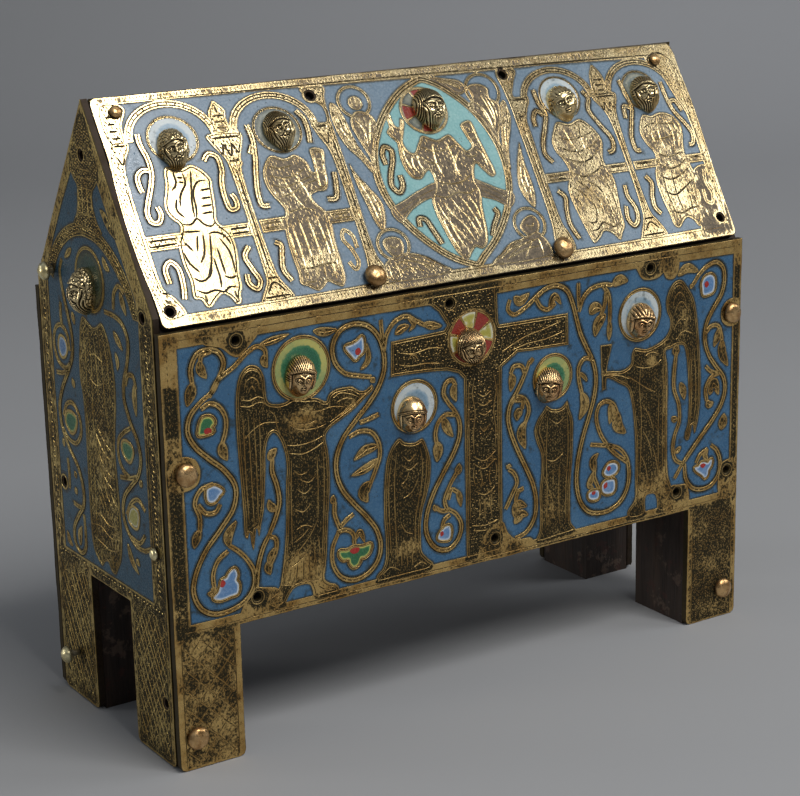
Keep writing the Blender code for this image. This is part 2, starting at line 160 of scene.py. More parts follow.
# Worn gilding: where gold is left on the copper, and how it shines
def makeWornGilding():
    tree, get, put = startGroup("wornGilding", [
        ("Place", "NodeSocketVector", None), ("Groove", "NodeSocketFloat", 0.0),
        ("Rim", "NodeSocketFloat", 0.0), ("Side", "NodeSocketFloat", 0.0), ("Bare", "NodeSocketFloat", 0.3),
        ("Gold in Grooves", "NodeSocketFloat", 0.9), ("Dirt in Grooves", "NodeSocketFloat", 0.95),
        ("Flecks", "NodeSocketFloat", 0.4), ("Strokes", "NodeSocketFloat", 1.2),
        ("Stroke Scale", "NodeSocketVector", (1000, 1000, 320)), ("Rim Kept", "NodeSocketFloat", 0.4),
        ("Roughness", "NodeSocketFloat", 0.3),
        ("Gold", "NodeSocketColor", rgb(218, 184, 118)), ("Deep Gold", "NodeSocketColor", rgb(176, 136, 76)),
        ("Dark", "NodeSocketColor", rgb(38, 37, 26)), ("Brown", "NodeSocketColor", rgb(64, 54, 34)),
        ("Soil", "NodeSocketColor", rgb(32, 26, 16)),
    ], [("Colour", "NodeSocketColor"), ("Metallic", "NodeSocketFloat"), ("Roughness", "NodeSocketFloat"),
        ("Height", "NodeSocketFloat")])
    place = get["Place"]
    broad = grain(tree, place, 95.0, 4.0, 0.6)
    fine = grain(tree, place, 900.0, 3.0, 0.65)
    speck = grain(tree, place, 1900.0, 2.0, 0.6)
    drawn = addNode(tree, "ShaderNodeVectorMath", {0: place, 1: get["Stroke Scale"]}, operation="MULTIPLY")
    stroke = minus(tree, grain(tree, drawn.outputs[0], 1.0, 1.0, 0.5), 0.5)
    field = plus(tree, get["Bare"], times(tree, minus(tree, broad, 0.5), 1.1))
    field = plus(tree, field, times(tree, minus(tree, fine, 0.5), 0.9))
    field = plus(tree, field, times(tree, stroke, get["Strokes"]))
    groove = between(tree, get["Groove"], 0.0, 1.0, 0.02, 0.3)
    rim = between(tree, get["Rim"], 0.0, 1.0, 0.35, 0.8)
    field = minus(tree, field, times(tree, rim, get["Rim Kept"]))
    bare = between(tree, field, 0.0, 1.0, 0.36, 0.66)
    kept = minus(tree, 1.0, times(tree, groove, get["Dirt in Grooves"]))
    kept = times(tree, minus(tree, 1.0, bare), kept)
    fleck = between(tree, speck, 0.0, 1.0, 0.57, 0.69)
    patch = between(tree, fine, 0.35, 1.0, 0.32, 0.52)
    traces = times(tree, times(tree, groove, get["Gold in Grooves"]), patch)
    traces = calc(tree, "MAXIMUM", traces, times(tree, rim, times(tree, patch, 0.95)))
    traces = calc(tree, "MAXIMUM", traces, times(tree, fleck, get["Flecks"]))
    gold = calc(tree, "ADD", kept, times(tree, bare, traces), clamp=True)
    gold = times(tree, gold, between(tree, get["Side"], 1.0, 0.05, 0.15, 0.55))
    bright = blendColour(tree, between(tree, broad, 0.0, 1.0, 0.35, 0.7), get["Gold"], get["Deep Gold"])
    dull = blendColour(tree, between(tree, fine, 0.0, 1.0, 0.4, 0.75), get["Dark"], get["Brown"])
    dull = blendColour(tree, groove, dull, get["Soil"])
    tree.links.new(blendColour(tree, gold, dull, bright), put["Colour"])
    tree.links.new(between(tree, gold, 0.35, 1.0), put["Metallic"])
    rough = plus(tree, get["Roughness"], times(tree, minus(tree, 1.0, gold), 0.22))
    rough = plus(tree, rough, times(tree, minus(tree, fine, 0.5), 0.35))
    tree.links.new(rough, put["Roughness"])
    height = plus(tree, times(tree, fine, 0.6), times(tree, gold, 0.5))
    height = plus(tree, height, times(tree, speck, 0.3))
    tree.links.new(height, put["Height"])
    return tree


# Fired glass: pits, clouds and stains over a base colour
def makeFiredGlass():
    tree, get, put = startGroup("firedGlass", [
        ("Place", "NodeSocketVector", None), ("Colour", "NodeSocketColor", rgb(80, 130, 175)),
        ("Pale", "NodeSocketColor", rgb(120, 165, 200)), ("Stain", "NodeSocketColor", rgb(48, 62, 62)),
        ("Stains", "NodeSocketFloat", 0.3),
    ], [("Colour", "NodeSocketColor"), ("Roughness", "NodeSocketFloat"), ("Height", "NodeSocketFloat")])
    place = get["Place"]
    cloud = grain(tree, place, 70.0, 4.0, 0.6)
    grit = grain(tree, place, 1100.0, 3.0, 0.7)
    blot = grain(tree, place, 180.0, 4.0, 0.65)
    pit = between(tree, cells(tree, place, 620.0), 1.0, 0.0, 0.10, 0.24)
    pit = times(tree, pit, between(tree, grain(tree, place, 260.0, 1.0), 0.0, 1.0, 0.52, 0.60))
    colour = blendColour(tree, between(tree, cloud, 0.0, 0.6, 0.42, 0.75), get["Colour"], get["Pale"])
    colour = blendColour(tree, between(tree, grit, 0.0, 0.35, 0.5, 0.75), colour, get["Pale"])
    stained = times(tree, between(tree, blot, 0.0, 1.0, 0.56, 0.72), get["Stains"])
    colour = blendColour(tree, stained, colour, get["Stain"])
    colour = blendColour(tree, times(tree, pit, 0.75), colour, get["Stain"])
    tree.links.new(colour, put["Colour"])
    rough = plus(tree, between(tree, grit, 0.20, 0.36, 0.35, 0.7), times(tree, stained, 0.3))
    tree.links.new(rough, put["Roughness"])
    height = minus(tree, times(tree, cloud, 1.4), times(tree, pit, 0.8))
    height = plus(tree, height, times(tree, grit, 0.18))
    tree.links.new(height, put["Height"])
    return tree


wornGilding = makeWornGilding()
firedGlass = makeFiredGlass()


def startMaterial(name, viewColour):
    made = bpy.data.materials.new(name)
    made.use_nodes = True
    made.diffuse_color = viewColour
    tree = made.node_tree
    tree.nodes.clear()
    shader = tree.nodes.new("ShaderNodeBsdfPrincipled")
    end = tree.nodes.new("ShaderNodeOutputMaterial")
    tree.links.new(shader.outputs[0], end.inputs["Surface"])
    place = tree.nodes.new("ShaderNodeTexCoord").outputs["Object"]
    return made, tree, shader.inputs, place


def addBump(tree, shader, height, strength, distance):
    bump = addNode(tree, "ShaderNodeBump", {"Height": height, "Strength": strength, "Distance": distance})
    tree.links.new(bump.outputs[0], shader["Normal"])


def makeGilt(name, **values):
    made, tree, shader, place = startMaterial(name, (0.6, 0.42, 0.16, 1))
    links = {"Place": place, "Groove": readAttribute(tree, "groove"), "Rim": readAttribute(tree, "rim"),
             "Bare": readAttribute(tree, "bare"), "Side": readAttribute(tree, "side")}
    links.update(values)
    worn = useGroup(tree, wornGilding, links)
    tree.links.new(worn["Colour"], shader["Base Color"])
    tree.links.new(worn["Metallic"], shader["Metallic"])
    tree.links.new(worn["Roughness"], shader["Roughness"])
    shader["Specular IOR Level"].default_value = 0.14
    addBump(tree, shader, worn["Height"], 0.6, 0.0001)
    return made


def makeGlass(name, colour, pale, stains=0.3, stain=(48, 62, 62), rimColour=None, midColour=None,
              rimAt=(0.25, 0.6), soil=0.85, soilAt=(0.25, 0.8)):
    made, tree, shader, place = startMaterial(name, rgb(*colour))
    base = rgb(*colour)
    rim = readAttribute(tree, "rim")
    wave = times(tree, minus(tree, grain(tree, place, 500.0), 0.5), 0.5)
    blurred = plus(tree, rim, wave)
    if rimColour:  # colours that ran together in the kiln, from the cell's edge inward
        if midColour:
            base = blendColour(tree, between(tree, blurred, 0.0, 1.0, 0.0, rimAt[0]), base, rgb(*midColour))
        base = blendColour(tree, between(tree, blurred, 0.0, 1.0, *rimAt), base, rgb(*rimColour))
    dirtAndShade = times(tree, between(tree, blurred, 0.0, 1.0, *soilAt), soil)
    base = blendColour(tree, dirtAndShade, base, rgb(*stain))
    glass = useGroup(tree, firedGlass, {"Place": place, "Colour": base, "Pale": rgb(*pale),
                                        "Stain": rgb(*stain), "Stains": stains})
    tree.links.new(glass["Colour"], shader["Base Color"])
    tree.links.new(glass["Roughness"], shader["Roughness"])
    shader["IOR"].default_value = 1.52
    addBump(tree, shader, glass["Height"], 0.45, 0.00012)
    return made


finishes = {
    "frontGilt": makeGilt("gilt_front", **{"Strokes": 0.6, "Stroke Scale": (900, 900, 600), "Flecks": 0.65}),
    "darkEdge": makeGilt("gilt_slab",
                         **{"Gold": rgb(206, 176, 150), "Dark": rgb(22, 18, 14), "Brown": rgb(44, 34, 28)}),
    # The roof's gold is paler and its dull tones lighter and greyer than the front's: partly painted
    # highlight, whitening the glare that the upward slope catches.
    "roofGiltPaintedGlare": makeGilt("gilt_roof_painted_glare", **{"Gold": rgb(230, 208, 160), "Deep Gold": rgb(196, 168, 116),
                                         "Dark": rgb(86, 78, 66), "Brown": rgb(126, 112, 94), "Strokes": 0.9,
                                         "Stroke Scale": (900, 300, 300), "Rim Kept": 0.8, "Flecks": 0.2,
                                         "Roughness": 0.2}),
    "gableGilt": makeGilt("gilt_gable", **{"Gold": rgb(224, 196, 122), "Deep Gold": rgb(184, 150, 82),
                                           "Dark": rgb(36, 35, 20), "Brown": rgb(66, 54, 28), "Strokes": 1.6,
                                           "Stroke Scale": (1100, 1100, 400), "Flecks": 0.9}),
    # The gable's blue is a darker copy of the front's: painted shade, as this end is turned away from the
    # light.
    "gableBlueShaded": makeGlass("glass_blue_gable_shaded", (48, 84, 104), (66, 102, 118), stains=1.0, stain=(38, 38, 26),
                           soilAt=(0.0, 0.4)),
    "frontBlue": makeGlass("glass_blue", (54, 97, 132), (80, 120, 150), stains=0.8, stain=(34, 46, 46),
                           soilAt=(0.02, 0.44)),
    # The roof's blue is a paler, greyer copy of the front's: painted reflection of the bright room on the
    # upward slope.
    "roofBlue": makeGlass("glass_blue_roof_painted_reflection", (112, 134, 152), (138, 156, 170), soilAt=(0.1, 0.6)),
    "green": makeGlass("glass_green", (44, 104, 66), (90, 140, 96), rimColour=(196, 186, 96),
                       midColour=(70, 128, 70), rimAt=(0.3, 0.62), soilAt=(0.8, 1.1)),
    "milk": makeGlass("glass_milk", (92, 132, 178), (150, 172, 200), rimColour=(206, 212, 214),
                      midColour=(140, 168, 200), rimAt=(0.3, 0.6), soilAt=(0.85, 1.15)),
    "red": makeGlass("glass_red", (164, 40, 34), (186, 70, 56), stain=(70, 24, 20), soil=0.3),
    "haloGreen": makeGlass("glass_halo_green", (40, 100, 72), (84, 136, 100), rimColour=(190, 184, 104),
                           midColour=(64, 122, 82), rimAt=(0.25, 0.45), soilAt=(0.9, 1.15)),
    "haloMilk": makeGlass("glass_halo_milk", (116, 146, 168), (160, 180, 190), stains=0.75,
                          rimColour=(204, 212, 212), midColour=(140, 168, 188), rimAt=(0.2, 0.5),
                          soilAt=(0.9, 1.15)),
    "cream": makeGlass("glass_cream", (172, 164, 72), (200, 196, 130), rimColour=(214, 210, 188),
                       midColour=(190, 184, 110), rimAt=(0.3, 0.6), soilAt=(0.85, 1.15)),
    "brick": makeGlass("glass_brick", (142, 46, 34), (160, 70, 52), stain=(60, 26, 22), soilAt=(0.8, 1.1)),
}
print("stage 2: finishes made")

# Where each side lies
casket = {"roofFootZ": 0.175, "halfDepth": 0.055}


def sideMatrix(origin, along, down, out):
    turn = Matrix((along, -down, out)).transposed().to_4x4()
    return Matrix.Translation(origin) @ turn @ Matrix.Scale(0.001, 4)


def findSides():
    frontLow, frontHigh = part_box("plate_front")
    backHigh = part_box("plate_back")[1]
    roofLow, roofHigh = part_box("plate_roof_front")
    endLow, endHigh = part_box("plate_gable_left")
    ridgeY, ridgeZ = (frontLow.y + backHigh.y) / 2, roofHigh.z
    pitch = math.atan2(ridgeZ - casket["roofFootZ"], casket["halfDepth"])
    casket["slope"] = math.tan(pitch)
    cosine, sine = math.cos(pitch), math.sin(pitch)
    x, y, z = Vector((1, 0, 0)), Vector((0, 1, 0)), Vector((0, 0, 1))
    return {
        "front": sideMatrix(Vector((frontLow.x, frontLow.y, frontHigh.z)), x, -z, -y),
        "back": sideMatrix(backHigh, -x, -z, y),
        "roofFront": sideMatrix(Vector((roofLow.x, ridgeY, ridgeZ)), x, -y * cosine - z * sine,
                                -y * sine + z * cosine),
        "roofBack": sideMatrix(Vector((-roofLow.x, ridgeY, ridgeZ)), -x, y * cosine - z * sine,
                               y * sine + z * cosine),
        "gableLeft": sideMatrix(Vector((endLow.x, endHigh.y, endHigh.z)), -y, -z, -x),
        "gableRight": sideMatrix(Vector((-endLow.x, endLow.y, endHigh.z)), y, -z, x),
    }


sides = findSides()


# Drawing helpers, in millimetres across (u) and down (v) a side
def smoothLine(points, step=0.8, closed=False):  # a round curve through given points
    points = [Vector(p) for p in points]
    count, line = len(points), []
    for i in range(count if closed else count - 1):
        p1, p2 = points[i], points[(i + 1) % count]
        p0 = points[i - 1] if closed or i else p1 * 2 - p2
        p3 = points[(i + 2) % count] if closed or i < count - 2 else p2 * 2 - p1
        t1 = max((p1 - p0).length, 1e-4) ** 0.5
        t2 = t1 + max((p2 - p1).length, 1e-4) ** 0.5
        t3 = t2 + max((p3 - p2).length, 1e-4) ** 0.5
        parts = max(1, round((p2 - p1).length / step))
        for k in range(parts):
            t = t1 + (t2 - t1) * k / parts
            a1 = p0 * ((t1 - t) / t1) + p1 * (t / t1)
            a2 = p1 * ((t2 - t) / (t2 - t1)) + p2 * ((t - t1) / (t2 - t1))
            a3 = p2 * ((t3 - t) / (t3 - t2)) + p3 * ((t - t2) / (t3 - t2))
            b1 = a1 * ((t2 - t) / t2) + a2 * (t / t2)
            b2 = a2 * ((t3 - t) / (t3 - t1)) + a3 * ((t - t1) / (t3 - t1))
            line.append(b1 * ((t2 - t) / (t2 - t1)) + b2 * ((t - t1) / (t2 - t1)))
    if not closed:
        line.append(points[-1])
    return line


def straightLine(points, step=1.2, closed=True):  # corners kept, long runs split
    points = [Vector(p) for p in points]
    line = []
    for i, p in enumerate(points if closed else points[:-1]):
        q = points[(i + 1) % len(points)]
        parts = max(1, round((q - p).length / step))
        line += [p.lerp(q, k / parts) for k in range(parts)]
    return line if closed else line + [points[-1]]


def circle(u, v, radius, parts=0):
    parts = parts or max(10, round(radius * 6.3 / 0.9))
    angles = [math.tau * k / parts for k in range(parts)]
    return [Vector((u + radius * math.cos(a), v + radius * math.sin(a))) for a in angles]


def offsetLine(line, distance, closed=False):
    moved = []
    for i, p in enumerate(line):
        before = line[i - 1] if closed or i else p
        after = line[(i + 1) % len(line)] if closed or i < len(line) - 1 else p
        way = after - before
        way = way.normalized() if way.length > 1e-9 else Vector((1, 0))
        size = distance[i] if isinstance(distance, list) else distance
        moved.append(p + Vector((-way.y, way.x)) * size)
    return moved


def area(line):
    return sum(p.x * q.y - q.x * p.y for p, q in zip(line, line[1:] + line[:1])) / 2


def inset(outline, distance):  # a closed outline moved inwards, or outwards by a distance below zero
    return offsetLine(outline, distance if area(outline) > 0 else -distance, True)


def inside(point, line):
    hit = False
    for p, q in zip(line, line[1:] + line[:1]):
        if (p.y > point.y) != (q.y > point.y):
            if point.x < (q.x - p.x) * (point.y - p.y) / (q.y - p.y) + p.x:
                hit = not hit
    return hit


# A sheet of metal or glass: outlines kept or cut away, engraved lines and punched marks
def newSheet(top=0.0, bottom=-0.4, rimWidth=1.0):
    return {"top": top, "bottom": bottom, "rimWidth": rimWidth, "drop": 0.1, "lip": 0.26, "shapes": [],
            "lines": [], "marks": [], "loose": []}


def keepShape(sheet, outline, bare=0.2, rim=True):  # a later shape lies over an earlier one
    sheet["shapes"].append((outline, bare, rim))
    return outline


def cutShape(sheet, outline, rim=False):
    sheet["shapes"].append((outline, None, rim))


def engraveLine(sheet, line, width=0.5, depth=0.14, closed=False):
    sheet["lines"].append((line, width, depth, closed))


def punchMark(sheet, u, v, length, width, angle=0.0, depth=0.14):
    sheet["marks"].append((u, v, length, width, angle, depth))


def buildMesh(name, sheet):
    points, edges, faces, bares = [], [], [], []

    def addLoop(line, kind):
        line = [Vector((p.x, -p.y)) for p in line]
        if kind == "face" and area(line) < 0:
            line.reverse()
        start = len(points)
        points.extend(line)
        ids = list(range(start, len(points)))
        if kind == "face":
            faces.append(ids)
        else:
            edges.extend(zip(ids, ids[1:]))
            if kind == "closed":
                edges.append((ids[-1], ids[0]))
        return ids

    for outline, bare, rim in sheet["shapes"]:
        addLoop(outline, "face")
        bares.append(bare)
        inward = 1 if bare is not None else -1
        addLoop(inset(outline, sheet["lip"] * inward), "closed")
        if rim and sheet["rimWidth"]:
            addLoop(inset(outline, sheet["rimWidth"] * inward)[::2], "closed")
    deep = []
    for line, width, depth, closed in sheet["lines"]:
        if closed:
            chain, half = line + line[:1], [width / 2] * (len(line) + 1)
            for shift in (width / 2, 0.0, -width / 2):
                addLoop(offsetLine(line, shift, True) if shift else line, "closed")
        elif len(line) < 3:
            continue
        else:  # both ends run out to a point, as a graver leaves them
            last = len(line) - 1
            half = [width / 2 * min(1.0, 0.4 + 3.0 * min(k, last - k) / last) for k in range(last + 1)]
            left, right = offsetLine(line, half), offsetLine(line, [-h for h in half])
            addLoop([line[0]] + left[1:-1] + [line[-1]] + right[-2:0:-1], "closed")
            chain, half = line[1:-1], half[1:-1]
            if len(chain) > 1:
                addLoop(chain, "open")
            else:
                points.append(Vector((chain[0].x, -chain[0].y)))
        for p, q, reach in zip(chain, chain[1:], half):
            parts = max(1, math.ceil((q - p).length / 0.2))
            deep += [(p.lerp(q, k / parts), reach * 0.94, depth) for k in range(parts)]
        deep.append((chain[-1], half[-1] * 0.94, depth))
    for u, v, length, width, angle, depth in sheet["marks"]:
        way = Vector((math.cos(angle), math.sin(angle))) * length / 2
        over = Vector((-math.sin(angle), math.cos(angle))) * width / 2
        middle = Vector((u, v))
        ids = addLoop([middle + way, middle + over, middle - way, middle - over], "closed")
        points.append(Vector((u, -v)))
        edges.extend([(ids[0], len(points) - 1), (len(points) - 1, ids[2])])
        deep.append((middle, min(length, width) / 2, depth))
    points += [Vector((p[0], -p[1])) for p in sheet["loose"]]
    flat, _, found, _, _, origin = geometry.delaunay_2d_cdt(points, edges, faces, 0, 1e-4, True)
    used, topmost = [], [None] * len(flat)
    for triangle, source in zip(found, origin):
        best = max(source, default=-1)
        if best < 0 or bares[best] is None:
            continue
        used.append(tuple(triangle))
        for i in triangle:
            if topmost[i] is None or best > topmost[i]:
                topmost[i] = best
    border = {}  # edges that only one triangle has
    for a, b, c in used:
        for edge in ((a, b), (b, c), (c, a)):
            if (edge[1], edge[0]) in border:
                del border[(edge[1], edge[0])]
            else:
                border[edge] = True
    deepTree = kdtree.KDTree(len(deep) + 1)
    for i, (p, half, depth) in enumerate(deep):
        deepTree.insert((p.x, -p.y, 0), i)
    deepTree.insert((1e5, 1e5, 0), len(deep))
    deepTree.balance()
    rimTree = kdtree.KDTree(2 * len(border))
    for i, (a, b) in enumerate(border):
        rimTree.insert((flat[a].x, flat[a].y, 0), i)
        middle = (flat[a] + flat[b]) / 2
        rimTree.insert((middle.x, middle.y, 0), i)
    rimTree.balance()
    edgeSet = {i for pair in border for i in pair}
    index, places, groove, rims, bare, sideMarks = {}, [], [], [], [], []
    for i, p in enumerate(flat):
        if topmost[i] is None:
            continue
        index[i] = len(places)
        _, near, distance = deepTree.find((p.x, p.y, 0))
        dip = 0.0
        if near < len(deep) and distance < deep[near][1]:
            dip = 1 - distance / deep[near][1]
        fall = max(dip * deep[near][2] if dip else 0.0, sheet["drop"] if i in edgeSet else 0.0)
        places.append((p.x, p.y, sheet["top"] - fall))
        sideMarks.append(1.0 if i in edgeSet else 0.0)
        groove.append(dip)
        rimDistance = rimTree.find((p.x, p.y, 0))[2]
        rims.append(max(0.0, 1 - rimDistance / sheet["rimWidth"]) if sheet["rimWidth"] else 0.0)
        worn = bares[topmost[i]]
        bare.append(worn(p.x, -p.y) if callable(worn) else worn)
    polygons = [tuple(index[i] for i in t) for t in used]
    lower = {}
    for a, b in border:
        for i in (a, b):
            if i not in lower:
                lower[i] = len(places)
                places.append((flat[i].x, flat[i].y, sheet["bottom"]))
                groove.append(0.0)
                rims.append(1.0)
                sideMarks.append(1.0)
                bare.append(bare[index[i]])
    for a, b in border:
        polygons.append((lower[a], lower[b], index[b], index[a]))
    # the underside uses the border's own points alone
    edgePoints = list(lower)
    order = {i: k for k, i in enumerate(edgePoints)}
    _, _, backFaces, backSource, _, _ = geometry.delaunay_2d_cdt(
        [flat[i] for i in edgePoints], [(order[a], order[b]) for a, b in border], [], 0, 1e-7, True)
    backward = [edgePoints[s[0]] if s else None for s in backSource]
    neighbours, within, queue = {}, {}, []  # within: whether a triangle lies inside the border
    for k, (a, b, c) in enumerate(backFaces):
        neighbours.update({(a, b): k, (b, c): k, (c, a): k})
    for (a, b), k in neighbours.items():
        if (backward[a], backward[b]) in border:
            within[k] = True
            queue.append(k)
        elif (backward[b], backward[a]) in border:
            within[k] = False
    while queue:
        a, b, c = backFaces[queue.pop()]
        for start, end in ((a, b), (b, c), (c, a)):
            other = neighbours.get((end, start))
            if (backward[start], backward[end]) in border or other is None or other in within:
                continue
            within[other] = True
            queue.append(other)
    for k, triangle in enumerate(backFaces):
        if within.get(k):
            polygons.append(tuple(lower[backward[i]] for i in reversed(triangle)))
    mesh = bpy.data.meshes.new(name)
    mesh.from_pydata(places, [], polygons)
    for label, numbers in (("groove", groove), ("rim", rims), ("side", sideMarks), ("bare", bare)):
        mesh.attributes.new(label, "FLOAT", "POINT").data.foreach_set("value", numbers)
    return mesh


def placePiece(name, mesh, side, finish, replaced=(), smooth=False):
    if side.startswith("roof"):  # mitred at the ridge
        for vert in mesh.vertices:
            vert.co.y = min(vert.co.y, vert.co.z * casket["slope"])
    mesh.transform(sides[side])
    mesh.materials.clear()
    mesh.materials.append(finishes[finish])
    for polygon in mesh.polygons:
        polygon.use_smooth = smooth
    piece = bpy.data.objects.new(name, mesh)
    bpy.context.scene.collection.objects.link(piece)
    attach(piece, "root")
    if replaced:
        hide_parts(*replaced)
    print("  ", name, len(mesh.polygons), "faces")
    return piece


def spreadDrawing(mesh, side):  # the roof's drawing widens towards its far end, as its plate does
    if side != "roofFront":
        return
    for vert in mesh.vertices:
        u, v = vert.co.x, -vert.co.y
        s, t = u / roof["size"][0], v / roof["size"][1]
        along = (23 - 4 * t) * s - 16.3 * s * s - (0.5 + 0.4 * t) * min(1, u / 6)
        along += (0.9 - 1.4 * t) * max(0, (u - 274) / 5.4)
        down = (0.6 + 1.2 * t - 1.6 * t * t + (4.1 - 5.5 * t) * s) * max(0, min(1, v / 3, (95.9 - v) / 4))
        vert.co.x += along
        vert.co.y -= down


def buildSheet(name, sheet, side, finish, replaced=()):
    mesh = buildMesh(name, sheet)
    spreadDrawing(mesh, side)
    return placePiece(name, mesh, side, finish, replaced)


# Geometry Nodes: helpers, then the vine stem, a flat band of metal with a line cut down its middle
def startTree(name, inputs):
    tree = bpy.data.node_groups.new(name, "GeometryNodeTree")
    tree.interface.new_socket("Geometry", in_out="INPUT", socket_type="NodeSocketGeometry")
    for label, kind, value in inputs:
        socket = tree.interface.new_socket(label, in_out="INPUT", socket_type=kind)
        if value is not None:
            socket.default_value = value
    tree.interface.new_socket("Geometry", in_out="OUTPUT", socket_type="NodeSocketGeometry")
    return tree, tree.nodes.new("NodeGroupInput").outputs


def endTree(tree, geometrySocket, finish):
    real = addNode(tree, "GeometryNodeRealizeInstances", {"Geometry": geometrySocket})
    dressed = addNode(tree, "GeometryNodeSetMaterial", {"Geometry": real.outputs[0], "Material": finish})
    end = tree.nodes.new("NodeGroupOutput")
    tree.links.new(dressed.outputs[0], end.inputs[0])


def storeNumber(tree, geometrySocket, name, value):
    return addNode(tree, "GeometryNodeStoreNamedAttribute",
                   {"Geometry": geometrySocket, "Name": name, "Value": value},
                   data_type="FLOAT", domain="POINT").outputs[0]


def readNumber(tree, name):
    return addNode(tree, "GeometryNodeInputNamedAttribute", {"Name": name}, data_type="FLOAT").outputs[0]


def readPlace(tree):
    return tree.nodes.new("GeometryNodeInputPosition").outputs[0]


def movePoints(tree, geometrySocket, kind, value):  # kind: Position or Offset
    return addNode(tree, "GeometryNodeSetPosition", {"Geometry": geometrySocket, kind: value}).outputs[0]


def makeStemTree():
    tree, get = startTree("vineStem", [
        ("Groove Depth", "NodeSocketFloat", 0.2), ("Sunk", "NodeSocketFloat", 0.3),
        ("Finish", "NodeSocketMaterial", None)])
    size = readNumber(tree, "size")
    path = addNode(tree, "GeometryNodeMeshToCurve", {"Mesh": get["Geometry"]}).outputs[0]
    path = addNode(tree, "GeometryNodeSetCurveNormal", {"Curve": path}, mode="Z_UP").outputs[0]
    path = addNode(tree, "GeometryNodeSetCurveRadius", {"Curve": path, "Radius": size}).outputs[0]
    ring = addNode(tree, "GeometryNodeCurvePrimitiveCircle", {"Resolution": 12, "Radius": 1.0},
                   mode="RADIUS").outputs[0]
    x, y, _ = splitVector(tree, readPlace(tree))
    across = calc(tree, "ABSOLUTE", x)
    outer = calc(tree, "GREATER_THAN", across, 0.7)
    wide = times(tree, x, plus(tree, 0.56, times(tree, outer, 0.44)))
    upper = calc(tree, "GREATER_THAN", y, -0.01)
    edge = calc(tree, "GREATER_THAN", across, 0.95)
    groove = times(tree, calc(tree, "LESS_THAN", across, 0.1), upper)
    dips = times(tree, plus(tree, groove, edge), get["Groove Depth"])
    low = times(tree, minus(tree, 1.0, upper), get["Sunk"])
    for name, value in (("groove", groove), ("side", edge), ("rim", outer)):
        ring = storeNumber(tree, ring, name, value)
    ring = movePoints(tree, ring, "Position", joinVector(tree, wide, plus(tree, dips, low)))
    step = calc(tree, "MODULO", tree.nodes.new("GeometryNodeInputIndex").outputs[0], 4.0)
    path = storeNumber(tree, path, "cut", calc(tree, "GREATER_THAN", step, 0.5))
    stem = addNode(tree, "GeometryNodeCurveToMesh",
                   {"Curve": path, "Profile Curve": ring, "Fill Caps": True}).outputs[0]
    dashes = times(tree, readNumber(tree, "groove"), readNumber(tree, "cut"))
    stem = storeNumber(tree, stem, "groove", dashes)
    endTree(tree, stem, get["Finish"])
    return tree


stemTree = makeStemTree()


def growTree(carrier, tree, settings):  # runs a node tree on a carrier mesh and returns a plain mesh
    holder = bpy.data.objects.new("carrier", carrier)
    bpy.context.scene.collection.objects.link(holder)
    modifier = holder.modifiers.new("grow", "NODES")
    modifier.node_group = tree
    for item in tree.interface.items_tree:
        if item.item_type == "SOCKET" and item.in_out == "INPUT" and item.name in settings:
            modifier[item.identifier] = settings[item.name]
    bpy.context.view_layer.update()
    grown = bpy.data.meshes.new_from_object(holder.evaluated_get(bpy.context.evaluated_depsgraph_get()))
    holder.modifiers.remove(modifier)
    bpy.data.objects.remove(holder)
    return grown


def makeCarrier(lines, height=0.0):  # lines: (points, sizes, bare)
    places, edges, sizes, bares = [], [], [], []
    for points, size, bare in lines:
        start = len(places)
        places += [(p.x, -p.y, height) for p in points]
        edges += [(start + k, start + k + 1) for k in range(len(points) - 1)]
        sizes += size
        bares += [bare(p.x, p.y) if callable(bare) else bare for p in points]
    mesh = bpy.data.meshes.new("carrier")
    mesh.from_pydata(places, edges, [])
    mesh.attributes.new("size", "FLOAT", "POINT").data.foreach_set("value", sizes)
    mesh.attributes.new("bare", "FLOAT", "POINT").data.foreach_set("value", bares)
    return mesh


def stemLines(vines, bare=0.2, tip=0.45):  # vines: width of band -> given curves; ends narrowed to tip
    lines = []
    for width, curves in vines.items():
        for curve in curves:
            points = smoothLine(curve, 0.7)
            last = len(points) - 1
            sizes = [width * 0.54 * min(1.0, tip + 5.0 * min(k, last - k) / last) for k in range(last + 1)]
            lines.append((points, sizes, bare))
    return lines


def buildStems(name, vines, side, finish, bare=0.2, tip=0.45, height=0.02):
    mesh = growTree(makeCarrier(stemLines(vines, bare, tip), height), stemTree,
                    {"Groove Depth": 0.16, "Sunk": 0.35, "Finish": finishes[finish]})
    spreadDrawing(mesh, side)
    return placePiece(name, mesh, side, finish)


# Rows of short cuts that fill an outline; chance: how many of them are laid down
def fillDashes(sheet, outline, spacing, pitch, length, width, angle, seed, margin=1.3, chance=0.85,
               wobble=0.25):
    chooser = random.Random(seed)
    us, vs = [p.x for p in outline], [p.y for p in outline]
    middle = Vector(((min(us) + max(us)) / 2, (min(vs) + max(vs)) / 2))
    reach = math.hypot(max(us) - min(us), max(vs) - min(vs)) / 2
    way = Vector((math.cos(angle), math.sin(angle)))
    over = Vector((-way.y, way.x))
    inner = inset(outline, margin)
    rows, steps = int(reach / spacing) + 1, int(reach / pitch) + 1
    for row in range(-rows, rows + 1):
        for step in range(-steps, steps + 1):
            if chooser.random() > chance:
                continue
            p = middle + over * (row * spacing) + way * ((step + 0.5 * (row % 2)) * pitch)
            p += Vector((chooser.uniform(-wobble, wobble), chooser.uniform(-wobble, wobble)))
            if inside(p, outline) and inside(p, inner):
                turn = angle + chooser.uniform(-0.2, 0.2)
                punchMark(sheet, p.x, p.y, length * chooser.uniform(0.7, 1.2), width, turn)


def engraveAll(sheet, curves, width, depth):
    for curve in curves:
        engraveLine(sheet, smoothLine(curve, 0.9), width, depth)


